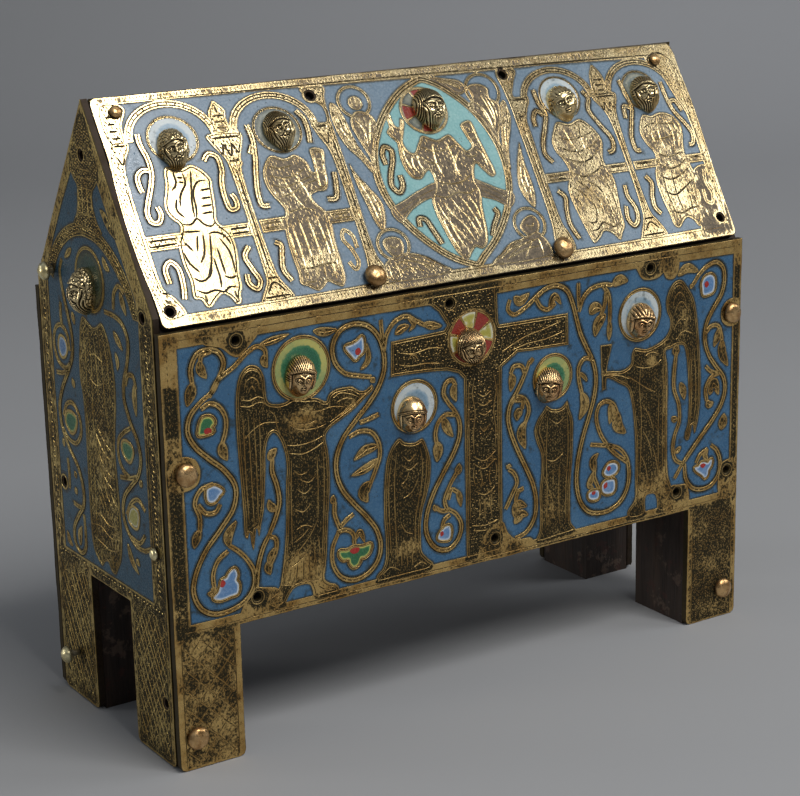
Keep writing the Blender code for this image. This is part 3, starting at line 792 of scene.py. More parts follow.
def bud(sheet, points, width, bare):  # a long leaf with a vein, widest in its middle
    line = smoothLine(points, 0.6)
    last = len(line) - 1
    swell = [0.12 + 0.88 * math.sin(math.pi * (k / last) ** 0.85) ** 0.8 for k in range(last + 1)]
    half = [width * 0.6 * s for s in swell]
    keepShape(sheet, offsetLine(line, half) + offsetLine(line, [-h for h in half])[::-1], bare)
    engraveLine(sheet, line[1:-1], 0.45, 0.14)


# The copper plate under the metalwork: its back, edges and holes, with a chamfer round the face
def addSlab(name, side, node, outline, holes, finish, top=-0.32, thick=3.0):
    slab = newSheet(top, -thick, 0.6)
    slab["drop"], slab["lip"] = 0.25, 0.35
    keepShape(slab, outline, 0.9)
    # Round each hole the copper is bare and dark: bare copper, and painted shade that widens the hole's dark
    # past its cut edge.
    for u, v in holes:
        keepShape(slab, circle(u, v, 3.0), 1.4, False)
        cutShape(slab, circle(u, v, 1.8))
    return buildSheet(name, slab, side, finish, (node,))


def sheetOutline(corners, wobble, seed, margin):  # a hand-cut edge, never quite straight
    line = straightLine(corners, 1.4)
    moved = []
    sign = 1 if area(line) > 0 else -1
    for i, p in enumerate(line):
        way = (line[(i + 1) % len(line)] - line[i - 1]).normalized()
        shake = noise.noise(Vector((p.x * 0.06, p.y * 0.06, seed))) + 0.4 * noise.noise(
            Vector((p.x * 0.35, p.y * 0.35, seed + 3)))
        moved.append(p + Vector((-way.y, way.x)) * sign * (margin + wobble * (0.5 + shake)))
    return moved


def roundFeet(corners, radius=2.5):  # the lowest corners, which are the feet, rounded off
    low, line = max(v for _, v in corners), []
    for i, spot in enumerate(corners):
        if spot[1] < low:
            line.append(spot)
            continue
        here = Vector(spot)
        beside = (corners[i - 1], corners[(i + 1) % len(corners)])
        before, after = ((Vector(p) - here).normalized() for p in beside)
        line += [here + before * radius, here + (before + after) * radius * 0.29, here + after * radius]
    return line


wall = {"width": 286, "foot": 175.4, "leg": 29, "legTop": 120.1}  # the front and the back plate


def wallCorners(width, foot, leg, legTop):
    far = width - leg
    return [(0, 0), (width, 0), (width, foot), (far, foot), (far, legTop), (leg, legTop), (leg, foot),
            (0, foot)]


front = {
    "outline": roundFeet(wallCorners(**wall)),
    "holes": [
        (32.5, 7), (130, 7), (234, 6.7), (37.2, 110.7), (151.3, 110.8), (250.5, 110.3), (279.7, 105.5),
    ],
    "halos": {
        "angelLeft": (60.3, 22.3, 13.2), "mournerLeft": (112, 46.5, 11.2), "crucified": (140.5, 22.5, 11.8),
        "mournerRight": (181.5, 46, 10.4), "angelRight": (228.3, 26.2, 11.8),
    },
}

frontFigures = {
    "angelLeft": [
        (38, 17.3), (41.8, 18.8), (43.8, 22.5), (44.3, 28), (45.3, 33), (49, 34.5), (52.5, 34.5), (56, 33.5),
        (62, 34.5), (67, 35.2), (71, 37.2), (72, 35), (75, 33.3), (79, 33), (83, 33.4), (86.5, 35.6),
        (89, 35.8), (92.3, 34.2), (93, 36), (89.5, 38.6), (84, 42.5), (78, 45.6), (72.5, 48.4), (70.3, 51),
        (71.2, 58), (71.6, 66), (71.2, 75), (70.3, 84), (69.6, 92), (69, 100), (68.2, 106), (67.8, 110),
        (70, 112), (73.5, 113.8), (74.2, 116.8), (68, 117.4), (62.6, 117), (61.8, 113.5), (60.6, 110.9),
        (57, 110.2), (53.6, 110.8), (51.4, 113), (49, 116.4), (45, 117.4), (42, 116), (41.6, 112.6),
        (43.8, 110.8), (46.6, 109.3), (48.2, 104), (49.6, 96), (50.6, 88), (51.3, 78), (51.6, 68),
        (52.2, 60), (51.6, 54.5), (49.6, 48.6), (47, 45.6), (44.8, 47.3), (43.4, 52), (42.9, 60), (42.2, 68),
        (41.4, 76), (40, 81.5), (38.9, 86), (38, 82.5), (37, 87.5), (36.2, 91), (35.3, 88.3), (34.7, 83.6),
        (33.9, 86), (32.9, 85.4), (32.4, 76), (31.9, 64), (31.2, 50), (31, 40), (31.3, 29), (32.6, 22.4),
        (34.6, 19),
    ],
    "mournerLeft": [
        (104.5, 58.5), (107, 60.5), (112, 61.5), (115.5, 60.5), (117.5, 64), (119.2, 70), (119, 78),
        (117.3, 84.5), (115, 91), (114, 98), (114, 104), (114.3, 108.5), (117, 112), (119.8, 115),
        (118, 117), (110, 117.4), (101, 117.4), (92, 117), (92.2, 114.2), (95, 111.8), (96.5, 108),
        (96.8, 100), (96.3, 90), (96.6, 80), (97.3, 72), (98.6, 65.5), (101.5, 60.5),
    ],
    "mournerRight": [
        (178.2, 57.8), (181, 59.6), (186, 60), (189.2, 57.6), (190.2, 61), (192, 66), (192.2, 74),
        (191.8, 84), (190.8, 95), (190.8, 105), (191.2, 112), (193.6, 115.8), (184, 117.2), (172.5, 117),
        (174.3, 112.3), (174.6, 104), (174.3, 96), (175.4, 86), (175.2, 78.5), (173, 73), (171.8, 67.5),
        (174, 62.5), (176.5, 59.8),
    ],
    "angelRight": [
        (225.5, 40.5), (232, 41.8), (239, 40.3), (242.5, 38.5), (244.8, 35.3), (245.2, 31), (243.4, 27),
        (243, 21.5), (245, 17), (248, 14.2), (251.5, 14.3), (254.8, 17.8), (258, 22.5), (260, 29),
        (261.4, 38), (262.6, 50), (263.2, 62), (263, 72), (261.8, 80), (260.2, 84.8), (259, 80.5),
        (257.8, 84.5), (256.6, 87.3), (254.8, 86.6), (254.5, 84), (256, 80), (256.6, 72), (256, 60),
        (255, 50), (253, 43.6), (249.5, 42.9), (246, 43.8), (243, 44.3), (243.8, 50), (244.3, 60),
        (244.4, 75), (244.5, 90), (245.3, 101), (247.5, 107), (250, 109.5), (250.5, 113), (247, 117),
        (239.5, 117.2), (239, 112), (237.5, 108.6), (233, 108.4), (232.2, 111), (232, 117), (223, 117),
        (222.3, 113.8), (226.2, 109), (226.5, 100), (226.6, 88), (225.6, 74), (224, 64), (221.8, 57.6),
        (217, 54.5), (212, 51.6), (207.8, 50.4), (207.6, 48.3), (213.5, 48.6), (219, 49.2), (223.5, 47),
        (224, 43),
    ],
}

frontCross = [(101.5, 18.2), (127, 17.5), (128.5, 15.5), (124.5, 9.5), (120.5, 6.2), (120.5, 2), (153, 2),
              (153.6, 17.5), (154.2, 19.2), (189.5, 19.6), (189.8, 33.3), (170, 32.8), (163.5, 32.3),
              (155.3, 37.2), (155, 50), (155, 117), (136.5, 117), (136.3, 60), (136.2, 39), (133.5, 36.2),
              (128, 34.3), (118, 33.3), (108, 32.8), (101, 32.6)]

frontLobes = [
    [(17, 2), (18.5, 6.3), (26, 9), (30, 12.4), (33, 13.6), (36, 11.8), (39, 9), (41.8, 6.2), (43, 2)],
    [(225, 2), (227, 7.6), (229.5, 10.8), (234, 11.8), (239, 11), (242.5, 8.5), (246, 6), (247, 2)],
    [(29, 118), (31, 112), (34, 108.3), (36.2, 106.2), (40, 107.2), (46.5, 109.2), (48, 113), (46, 118)],
    [(143, 118), (146, 108), (150, 105.4), (155, 104), (158, 109.6), (162, 113.2), (170, 114.5), (172, 118)],
    [(243, 118), (244.6, 108.6), (247, 106.6), (252, 107), (256, 107.6), (257, 118)],
    [(276, 118), (274.6, 107), (276.3, 101.8), (279, 100.6), (284, 101), (284, 118)],
    [(240, 2), (240.5, 8), (243, 12.5), (247, 13), (249.5, 10), (249, 2)],
    [(2, 51), (7, 48), (13, 50), (15, 55), (13.5, 60), (7, 62), (2, 60)],
    [(284, 27), (278, 27), (274.5, 31), (275, 36), (279, 39), (284, 38)],
]

frontVines = {  # band width -> curves
    2.7: [
        [(24.5, 20), (26.8, 15), (25, 10.5), (21, 8.7), (16, 9.5), (13, 14.5), (13.3, 21)],
        [(24.5, 20), (22, 24.5), (16, 28.6), (11.6, 33), (10.4, 39), (13.2, 45), (19, 51), (25, 56.5),
         (29.5, 64), (28.4, 72), (22, 80), (15.5, 87), (10.6, 96), (9.5, 103), (12.6, 110), (18, 113.3),
         (25, 113.4), (31.5, 111), (35.6, 106), (36, 100), (33, 94), (29.5, 90), (25.8, 87)],
        [(43.5, 86), (46.5, 80), (48.4, 74), (47.6, 67), (45.8, 61), (46, 56)],
        [(36.8, 107), (38, 98), (40.4, 91), (43.5, 86)],
        [(92, 31), (86, 29.5), (80, 27.5), (75.6, 22.5), (74.6, 16), (78, 10.4), (84, 8.5), (90.6, 10),
         (95.6, 15), (98, 22), (98, 29), (95, 36), (90, 42), (84, 47.6), (78, 54), (74.9, 61), (74.8, 68),
         (77.4, 75), (82.4, 81.6), (88, 88), (92.8, 95), (94.4, 102), (92.6, 108), (88, 112.2),
         (81.5, 113.6), (75.5, 111), (71.9, 105), (71.8, 98), (75, 91.5)],
        [(128.5, 48), (131.6, 52), (133.8, 57), (133.6, 63), (131, 69), (126, 76.4), (120.6, 84.6),
         (117.4, 92), (116.4, 99), (118.2, 105), (122.4, 109.4), (128, 110.4), (132.6, 106.6), (134, 101),
         (131.5, 96), (127.5, 93)],
        [(169.5, 37), (166.6, 43), (163, 49), (159.5, 54), (158.3, 60), (160, 67), (163.4, 75), (167.4, 83),
         (171, 91), (172.6, 99), (171.4, 106.5), (167, 111.6), (161.5, 113)],
        [(159.6, 9.6), (158.6, 13.5), (161.6, 16.2), (167, 14.3), (173, 10.5), (178.2, 7.6), (184, 7.2),
         (189, 10), (192, 16), (194, 22.6), (196.2, 29.6), (199.6, 36.4), (203, 43), (204.5, 50),
         (203.6, 58), (201, 66), (197.4, 75.6), (194.8, 86), (194.3, 96), (196.4, 104), (200.6, 109),
         (206.4, 111), (212.6, 110.8), (218.4, 108), (222, 102.6), (223, 96), (221.6, 89), (217.6, 84),
         (212, 81.4)],
        [(258, 17), (262, 12.6), (267, 9.6), (271.4, 9), (275, 11.8), (276, 17), (274.4, 23.6), (270, 29.4),
         (266.2, 35.4), (265.2, 42), (267.4, 49.5), (272, 56), (276.6, 61.8), (277.6, 67.6), (275.6, 74),
         (271, 80), (265, 86), (259, 92), (253, 98.4), (249, 103.6)],
        [(254.6, 98), (255.6, 105), (259.4, 110), (265, 111.8), (270.8, 110.8), (274.6, 106.6),
         (275.6, 100.6), (273.4, 95), (270, 92)],
    ],
    2.25: [
        [(20, 27), (24, 21), (31, 17), (37, 12.4), (41.4, 10.6), (44.6, 12.4), (45, 16)],
        [(16.4, 31), (20, 29.4), (24, 31.2), (26.6, 36), (26.4, 41), (24.6, 46)],
        [(43.5, 87), (46.2, 88.6), (46.2, 93), (43.4, 98.5)],
        [(20, 61), (14.5, 62.5), (11.9, 67), (13.6, 73), (13.4, 79)],
        [(13.2, 68), (16.4, 72), (20.4, 72.4), (22.6, 69.6)],
        [(25, 89), (20.6, 92), (18.2, 97), (18.4, 103)], [(75.4, 90.5), (73.2, 84), (73.4, 79)],
        [(98, 22), (99.6, 15), (103.6, 10.4), (109, 9), (113.6, 11.6), (118, 14)],
        [(81, 53.6), (86, 52.2), (91.4, 53.6), (94.6, 58.4), (95, 64), (92.6, 70), (89.6, 76)],
        [(74, 92), (78, 91.6), (81.5, 94), (82, 99)],
        [(128.5, 48), (126.2, 43.6), (127.4, 39.6), (130.4, 38.6), (132.2, 41.4)],
        [(132.4, 53.6), (127, 52.8), (123.4, 55.4), (121.9, 60), (122.6, 65)],
        [(133, 77), (128.6, 83), (125.9, 89), (127.4, 94)], [(128.4, 95.6), (125.4, 97.6), (124.4, 101)],
        [(127.6, 89), (129.4, 85), (132.4, 86.6)], [(167, 42), (165.4, 38.6), (161.4, 38.2), (159.6, 41)],
        [(159.6, 54), (163, 51.4), (167, 53), (169, 58), (167, 63.5)],
        [(162, 52.6), (165.8, 53.6), (165.4, 57)],
        [(156.6, 99), (160, 93.4), (162.6, 88.4), (161, 84), (158.4, 81.9)],
        [(163.6, 91.4), (162, 96), (163, 99)], [(172.6, 10.6), (175.4, 15), (179, 16.6), (183, 14.4)],
        [(195.2, 20), (197.6, 14.4), (202, 11), (208, 10.2), (213, 11)],
        [(208, 10.4), (211, 14.6), (211.8, 20), (211.6, 28)], [(209.8, 13), (209, 19), (206, 25)],
        [(203, 42), (198.6, 40.6), (195.4, 43.6), (195.3, 49), (197, 56)],
        [(222, 91), (213, 83.6), (206.6, 74.4), (204.8, 67), (206.4, 62.6), (210, 61.4), (214, 63.4),
         (216.6, 68.4)],
        [(206.4, 100), (203.8, 94), (204.2, 89)],
        [(265.6, 40), (268.6, 37.4), (272.6, 37.6), (274.8, 42), (275.4, 48)],
        [(274, 59.5), (269.6, 60.6), (266.4, 65), (267, 71)],
        [(249, 46), (247.9, 55), (247.9, 62), (250.8, 70), (251.2, 77.6), (248.6, 84), (247.8, 90),
         (249.4, 95), (254.6, 98.2)],
        [(268, 93.4), (263.6, 95.6), (261.4, 99)],
    ],
    1.9: [
        [(21.6, 9.4), (17.6, 10.6), (17, 13)], [(97, 8.6), (97.3, 13), (98, 18)],
        [(86, 48.6), (90, 48), (95, 46.8)], [(75.6, 90), (78.6, 87.6), (82, 85.8)],
        [(121.2, 91), (124, 93), (127.4, 93.8)], [(169.6, 38), (171.4, 36.2)],
        [(195, 7.6), (195, 12), (195.4, 18)], [(201.6, 79.2), (207, 80.4), (213.6, 82)],
        [(266, 55), (269.4, 58), (273.6, 59.4)], [(163, 92.6), (166, 91.6)],
    ],
}

frontBuds = [  # curve, width
    ([(13.4, 20), (12.4, 24), (10.6, 29)], 4.2), ([(16.6, 12), (17, 15.6), (19.4, 19.6)], 3.4),
    ([(44.6, 14), (44.2, 17), (45.6, 19.6)], 3.0), ([(42, 10.4), (48, 9.4), (55.6, 8)], 2.6),
    ([(24.6, 45), (24.8, 49), (26.6, 53)], 3.8), ([(25.6, 87.6), (25.4, 83), (29.2, 77.6)], 3.6),
    ([(46, 57), (45.6, 54.6), (48.2, 52)], 3.4), ([(47.6, 77), (44.6, 75), (43.6, 72)], 3.2),
    ([(43.8, 97), (42.4, 99.6), (43.2, 102.8)], 3.4), ([(46.4, 92), (44, 95.6), (42.4, 99.6)], 3.4),
    ([(13.4, 78), (11.6, 81.6), (10.6, 85)], 3.4), ([(18.2, 102), (17.4, 104.6), (15.2, 104.2)], 3.0),
    ([(66, 8.4), (71.6, 9.6), (77, 9.4)], 3.2), ([(73.4, 80), (72.6, 77.6), (73.2, 76)], 2.6),
    ([(92, 31), (92.8, 32.6), (93.6, 33.6)], 2.4), ([(87, 27.4), (90.6, 24), (90.4, 17)], 2.4),
    ([(103.4, 15.6), (107, 13.6), (110.6, 13)], 3.2), ([(117, 13.2), (121, 14.6), (126, 15.6)], 3.0),
    ([(109.6, 9.6), (112.6, 12.6), (110, 15.4)], 2.2), ([(94.6, 59.6), (88, 60.6), (82.8, 63.6)], 3.6),
    ([(94.4, 65), (88.6, 68), (81.4, 69.8)], 3.2), ([(90.4, 73.6), (87, 78), (88.8, 82.2)], 4.6),
    ([(82, 97), (84.6, 94), (87, 99)], 2.4), ([(131.8, 40), (131, 44), (132.4, 48)], 3.0),
    ([(122.6, 63), (123, 67.6), (122.4, 71.8)], 4.2), ([(125.6, 53.4), (128, 59), (130.6, 62.6)], 3.6),
    ([(131.6, 79), (133, 77), (133.4, 74.4)], 3.2), ([(132.4, 85.6), (133.4, 89.6), (134, 93.4)], 2.6),
    ([(121, 89.6), (120.8, 91), (123.4, 92.6)], 2.2), ([(159.8, 40.6), (160.6, 44), (159.6, 48.6)], 3.4),
    ([(165.6, 57), (163.4, 58.6), (162.8, 61.6)], 3.6), ([(167.4, 62.6), (165, 67), (167, 74.6)], 4.0),
    ([(158.6, 82), (158.2, 80.6), (160, 81)], 2.2), ([(161.6, 8.6), (164.6, 11), (169.6, 8.4)], 3.8),
    ([(179.6, 16.2), (182.6, 11.6), (186, 15.4)], 3.0), ([(201, 22), (203.6, 19.6), (208, 20.4)], 4.4),
    ([(209.6, 23), (205.6, 26.4), (203.8, 32)], 4.4), ([(211.8, 26), (211.6, 31), (211.4, 35)], 2.6),
    ([(213, 11.2), (217, 9.4), (221.6, 10.4)], 4.0), ([(196.6, 55), (198.6, 60.6), (195.6, 67)], 4.2),
    ([(195.4, 46), (199, 49.6), (199.6, 51)], 1.8), ([(216.4, 67), (216.4, 73), (221, 77.6)], 4.8),
    ([(212, 63), (213, 67.6), (212, 72)], 3.4), ([(204, 92), (203.2, 86.6), (206, 83.8)], 3.4),
    ([(203.6, 99), (201.4, 97.6), (203.2, 91.6)], 3.0), ([(249, 12), (254.4, 9.4), (261, 11.8)], 3.8),
    ([(258, 16.6), (257, 18.4), (257.6, 18.8)], 2.2), ([(274.6, 38.4), (272.4, 43), (270.6, 47)], 3.4),
    ([(275.2, 44), (275.6, 50.6), (279, 57)], 4.2), ([(249.2, 47.6), (248.8, 44.6), (250, 42.6)], 3.6),
    ([(251.4, 60), (253, 63.6), (254, 68.2)], 3.4), ([(250.4, 76.6), (248, 76), (247, 74.6)], 2.8),
    ([(249, 92), (251, 90.6), (252.6, 89.6)], 2.4), ([(266.8, 71), (268.6, 73), (271, 72.2)], 3.2),
    ([(268.4, 68.6), (271, 63.6), (274, 69.4)], 4.2), ([(275.6, 86), (277, 82), (277.4, 78.6)], 4.4),
    ([(268.4, 93.4), (266.6, 96), (268.6, 99)], 2.6), ([(161.4, 104), (163, 98.6), (167.8, 100)], 4.2),
    ([(161, 106.4), (165, 103), (168.4, 104)], 3.8),
]

frontCells = {  # glass inside the leaves
    "green": [
        [(15.8, 36.4), (17, 34.6), (19.5, 34.5), (21.2, 35.7), (21.6, 37.4), (20.4, 38.6), (21, 40.2),
         (18, 40.9), (15, 40.6), (15.2, 38.4)],
        [(75, 100.2), (78.4, 100.6), (81.6, 99.8), (86, 100.4), (89.6, 100.2), (88.8, 103.4), (86.6, 104.8),
         (85, 104.9), (83.4, 107.4), (81.4, 108), (79.8, 106.3), (79.2, 104.2), (76.8, 103.9),
         (75.2, 102.3)],
    ],
    "milk": [
        [(17.6, 62.4), (20, 61.9), (22.3, 63), (23.9, 64.7), (22.4, 66), (21.2, 67.4), (19.8, 68.2),
         (17.9, 67.7), (17.1, 65.4)],
        [(25.2, 98), (27.4, 96.9), (28.6, 99.4), (28, 101.4), (29, 103.6), (28.3, 107), (25.5, 107.5),
         (20.4, 108), (17.9, 106.6), (19.9, 105), (21, 102.6), (21.8, 100.4), (23.8, 99.8)],
        [(80.6, 17.2), (83.4, 16.6), (86, 15.7), (88.1, 14.3), (88.8, 17), (88.5, 20), (86.4, 21.4),
         (85, 22.7), (83.2, 20.9)],
        [(123.6, 102.2), (126.4, 100.4), (128.1, 100.6), (128.7, 103), (127.9, 106), (125.2, 106),
         (122.4, 104.7)],
        [(201, 101), (203.4, 100.5), (205.9, 100.7), (206.5, 102.5), (205.7, 104.1), (202.9, 104.2),
         (201.1, 103.1)],
        [(208.3, 98.6), (210.2, 97.3), (213, 97.2), (214.8, 97.7), (215.2, 101), (214.2, 102.9),
         (210.6, 103), (208.5, 101.6)],
        [(209.2, 93.4), (210.5, 91), (211.8, 89.9), (214.5, 89.9), (216.4, 91.1), (216.5, 93.4),
         (214.4, 94.9), (211, 95)],
        [(263.4, 20), (263.2, 17.2), (264.9, 14.8), (268, 14.2), (270, 15.7), (270.4, 19), (269.6, 21.7),
         (266.6, 22.6), (264.1, 22.5)],
        [(260.8, 101), (263, 100.8), (264.6, 99.4), (266.8, 99.6), (268.6, 100.2), (270, 98.9), (270.7, 99),
         (270.4, 101.5), (268.8, 103.5), (268.3, 105.8), (266.8, 106.7), (265.4, 105.3), (263.8, 104.1),
         (262.3, 103)],
    ],
    "red": [
        [(17.2, 39.4), (18.6, 38.6), (20.4, 39.2), (20.4, 40.6), (17.6, 40.8)],
        [(79.6, 100.7), (82, 99.9), (84.4, 100.6), (83.6, 102.2), (81.2, 102.4)],
        [(20.8, 100.8), (22.4, 100.2), (23.4, 101.8), (22, 103.2), (20.8, 102.4)],
        [(85, 19), (86.6, 18.2), (87.6, 20), (86.2, 21.2), (85, 20.6)],
        [(123.4, 102.6), (124.6, 101.9), (125.2, 103.4), (123.8, 104.2)],
        [(202.4, 100.8), (204.6, 100.7), (204.2, 102), (202.8, 102)],
        [(209, 98.8), (210.8, 97.8), (211, 99.8), (209.4, 100.6)],
        [(210.6, 91.6), (211.8, 90.6), (213, 91.8), (211.6, 93)],
        [(264.4, 17.6), (266, 16.6), (267, 18.4), (265.4, 19.6)],
        [(263.8, 100.4), (266, 99.8), (267.2, 100.8), (265.4, 102)],
    ],
}


def frontWear(u, v):  # how bare the border's copper is
    right = wall["width"] - u
    if v > wall["legTop"]:
        onLeft = u < right
        edge = min(u, wall["leg"] - u) if onLeft else min(wall["leg"] - right, right)
        return (0.3 if edge < 3 else 0.5) + (0.06 if onLeft else 0.22)
    if u < 8.5:
        return 0.36 if v < 21 else 1.0 if v < 40 else 0.55 if v < 49 else 0.96 if v < 107 else 0.74
    if right < 5.5:
        return 0.4 if v < 12 else 0.9
    if v < 8:
        return 0.3 + 0.6 * math.exp(-((u - 134) / 18) ** 2) + (0.25 if v < 2.2 else 0)
    return 0.34 if v < 118.4 else 0.7


# families: slope and gap of each set of crossing lines; marks: stray cuts on a square millimetre
def drawLeg(sheet, left, right, top, bottom, seed, families, marks=0.27, width=0.48):
    chooser = random.Random(seed)
    for u in (left + 2.9, right - 2.9):
        engraveLine(sheet, straightLine([(u, top - 1), (u, bottom - 0.8)], 2.0, False), 0.45)
    for slope, gap in families:
        reach = (right - left) * abs(slope)
        for k in range(-int(reach / gap) - 1, int((bottom - top + reach) / gap) + 1):
            start = top + 4 + gap * k + chooser.uniform(-1.2, 1.2)
            lean, line = chooser.uniform(0.92, 1.08), []
            for t in range(29):
                u = left + 3.2 + (right - left - 6.4) * t / 28
                v = start + (u - (left + right) / 2) * slope * lean
                if top < v < bottom - 1.4:
                    line.append(Vector((u, v)))
            if len(line) > 2:
                engraveLine(sheet, line, width, 0.14)
    for _ in range(int((right - left) * (bottom - top) * marks)):
        u, v = chooser.uniform(left + 3.6, right - 3.6), chooser.uniform(top, bottom - 1)
        punchMark(sheet, u, v, chooser.uniform(0.6, 1.4), 0.45, chooser.uniform(0, 3.1), 0.1)


frontLines = [  # folds, feathers and hands, cut with the graver
    [(33.5, 24), (35.5, 20.5), (38.5, 19.3), (41.5, 20.8), (42.8, 24)],
    [(35, 27), (36, 23.6), (38.6, 22.2), (41, 24), (41.6, 28)], [(36.6, 28.5), (38.4, 25.6), (40.2, 28.5)],
    [(32.6, 30), (37, 31), (41, 30.2), (44, 31.6)], [(32.4, 32.4), (37, 33.4), (41.4, 32.4), (45, 34)],
    [(34, 36), (34.2, 60), (34.8, 80)], [(36.2, 36), (36.6, 60), (37, 82)],
    [(38.6, 36), (39, 58), (38.8, 80)], [(41, 38), (41, 52), (40.4, 70)],
    [(45, 36), (48, 39), (48.6, 43), (50.4, 48)], [(34, 46), (38, 43), (43, 41), (50, 42)],
    [(53.6, 43.2), (57, 45.6), (62, 47), (67, 47), (71, 46.2)], [(57, 43.6), (62, 44.8), (66, 44)],
    [(58, 37.6), (63, 39.6), (68, 40.4), (73, 39.8), (80, 40.8)],
    [(52, 51.6), (58, 52.6), (65, 52), (69.4, 50.6)], [(53, 55), (60, 56.4), (66, 54.8), (69.6, 53)],
    [(74, 36.6), (77, 35), (82, 36), (86, 38)], [(75, 38.6), (80, 37.4), (84, 38.6)],
    [(77, 44), (84, 40.4), (90, 36.6)], [(72, 46), (78, 43), (84, 39.4)],
    [(54.6, 57), (54, 66), (53.6, 80), (53.4, 94)],
    [(68.8, 55), (69, 66), (68.4, 80), (67.2, 96), (66.2, 106)], [(66, 58), (66, 70), (65.6, 84)],
    [(55, 62), (58, 64.6), (62, 64)], [(56, 70), (60, 72.6), (64, 70)], [(55, 78), (59, 80), (63, 77)],
    [(57, 66), (62, 68.4), (65, 66.6)], [(55, 87), (59, 85.6), (63, 87)],
    [(52.4, 99), (57, 95), (62, 90), (65.6, 84)], [(52, 102), (58, 98.6), (63, 93)],
    [(54, 92), (58, 90), (61.6, 87)], [(55.6, 101), (54.6, 108.4)], [(58.4, 99.6), (58, 108.6)],
    [(60.8, 97), (61, 108.6)], [(63.2, 94), (64, 108)], [(65.4, 91), (66.2, 104)],
    [(50.6, 97), (49.4, 107.4)], [(52.6, 103), (51, 108.4)],
    [(47.6, 108), (53, 109.2), (59, 108.6), (64, 109.6), (67, 108.6)],
    [(44, 114.6), (46, 112.4), (48, 113.6)], [(64.4, 112), (68, 114.6), (72, 115.4)],
    [(100.6, 66), (99, 76), (98.8, 90), (99.4, 108)], [(103, 64), (101.8, 74), (101.6, 90), (102.4, 112)],
    [(117, 66), (117.2, 74), (115.6, 84), (113, 92)],
    [(114.4, 64), (115.4, 72), (114.2, 82), (111.4, 94), (111.2, 110)],
    [(105, 78), (107.6, 76), (109, 72.6)], [(105.6, 84), (110, 82), (113.6, 76)],
    [(104, 94), (107, 98.6), (110.4, 100)], [(106, 66), (109, 68.6), (112.6, 66)],
    [(105.6, 70), (109, 72.4), (113.4, 70)], [(104.6, 102), (104.2, 113)], [(107, 103), (107, 114)],
    [(109.4, 104), (109.6, 114)], [(94.6, 114.6), (99, 112), (104, 114.6)],
    [(110, 114.6), (114, 113), (117, 115)], [(176.6, 62), (174.4, 67.6), (176.4, 74), (177.6, 80)],
    [(178.8, 62), (178, 80), (178.4, 96), (178, 112)], [(189, 62), (189.6, 76), (188.4, 96), (188.4, 112)],
    [(176.6, 88), (179, 94), (182, 102)], [(177, 98), (180.4, 103), (183, 110)],
    [(180, 64), (184, 66.4), (188, 64)], [(177, 80.6), (182, 82.6), (187.4, 80)],
    [(185, 84), (184.6, 98), (185, 112)], [(181.6, 86), (181.6, 94)],
    [(229.4, 46), (228.4, 56), (229.6, 72), (229.4, 90), (229, 104)],
    [(241.4, 46), (241.8, 60), (241.6, 80), (242, 100)], [(239.4, 62), (239.2, 80), (239.6, 98)],
    [(224.8, 47.6), (229, 49.6), (236, 50), (241, 47.6)], [(221.6, 52), (227, 55.6), (233, 59.6), (238, 62)],
    [(212, 50), (218, 51.4), (224, 54)], [(231, 45), (235, 43.6), (239, 45)],
    [(230, 66), (234, 72), (237, 80)], [(230.6, 78), (234, 84), (236, 92)],
    [(228.8, 88), (232, 94), (234, 104)], [(236, 86), (238.6, 94), (240, 104)], [(231, 98), (231.4, 106.6)],
    [(228.4, 104), (231, 106.4), (234, 105)], [(241.6, 101), (243.6, 107), (246, 113)],
    [(243.4, 98), (245, 105), (248, 111)], [(245.4, 22), (247, 17.6), (250, 16.4), (253.2, 19)],
    [(246.4, 26), (248, 21), (250.6, 19.4), (254, 23)],
    [(247.4, 30), (249, 25.4), (251.4, 23.6), (255.6, 28)], [(247, 36), (251, 31.4), (256, 33)],
    [(248.4, 40.4), (253, 37), (258.6, 39)], [(257, 45), (258, 58), (258, 72), (257, 83)],
    [(259, 44), (260.2, 58), (260.4, 72), (259.4, 79)], [(127, 24.6), (120, 23.6), (112, 24.6), (105, 23.4)],
    [(127, 31), (118, 29.6), (110, 29.4), (104.4, 28)], [(109, 27.4), (111.6, 24.8), (114.4, 27.4)],
    [(155, 31), (161, 28.4), (168, 26), (176, 24.6), (186, 22.4)],
    [(160, 31), (168, 29.4), (178, 28.8), (187, 27)],
    [(141.6, 39), (140.4, 46), (141.6, 54), (140.6, 64), (141, 72)],
    [(151, 39), (152.4, 46), (151, 54), (152, 64), (151.4, 72)], [(142.6, 46), (146, 48), (150, 46)],
    [(142.6, 50), (146, 52), (150.4, 50)], [(143, 54.4), (146.4, 56), (150, 54.4)],
    [(143.6, 60), (146, 63), (149, 60)], [(140, 72.6), (146, 75.6), (152.4, 72)],
    [(140.4, 76), (146, 79), (152.2, 75.4)], [(141, 77), (140.4, 81), (141.4, 86)],
    [(151.6, 77), (152.2, 81), (151.4, 85.4)], [(144, 79.6), (144.8, 84), (144, 87.6)],
    [(149, 79), (148.4, 84), (149.4, 87)], [(141, 88), (146.4, 90.4), (151.6, 87.6)],
    [(143, 91), (143.6, 95), (143, 101)], [(146.4, 92), (146, 96), (146.2, 101)],
    [(150, 90), (149, 95), (149.6, 101)], [(139, 102.6), (146, 103.8), (153, 102.4)],
    [(139.6, 105), (146, 106), (147, 106)], [(138.6, 40), (138.4, 60), (138.5, 80), (138.6, 100)],
    [(153.2, 42), (153, 60), (153.2, 80), (153, 99)],
]


def wearPatches(base, patches):  # base bareness with softer spots: u, v, reach across, reach down, change
    def worn(u, v):
        value = base
        for pu, pv, ru, rv, change in patches:
            value += change * math.exp(-((u - pu) / ru) ** 2 - ((v - pv) / rv) ** 2)
        return value
    return worn


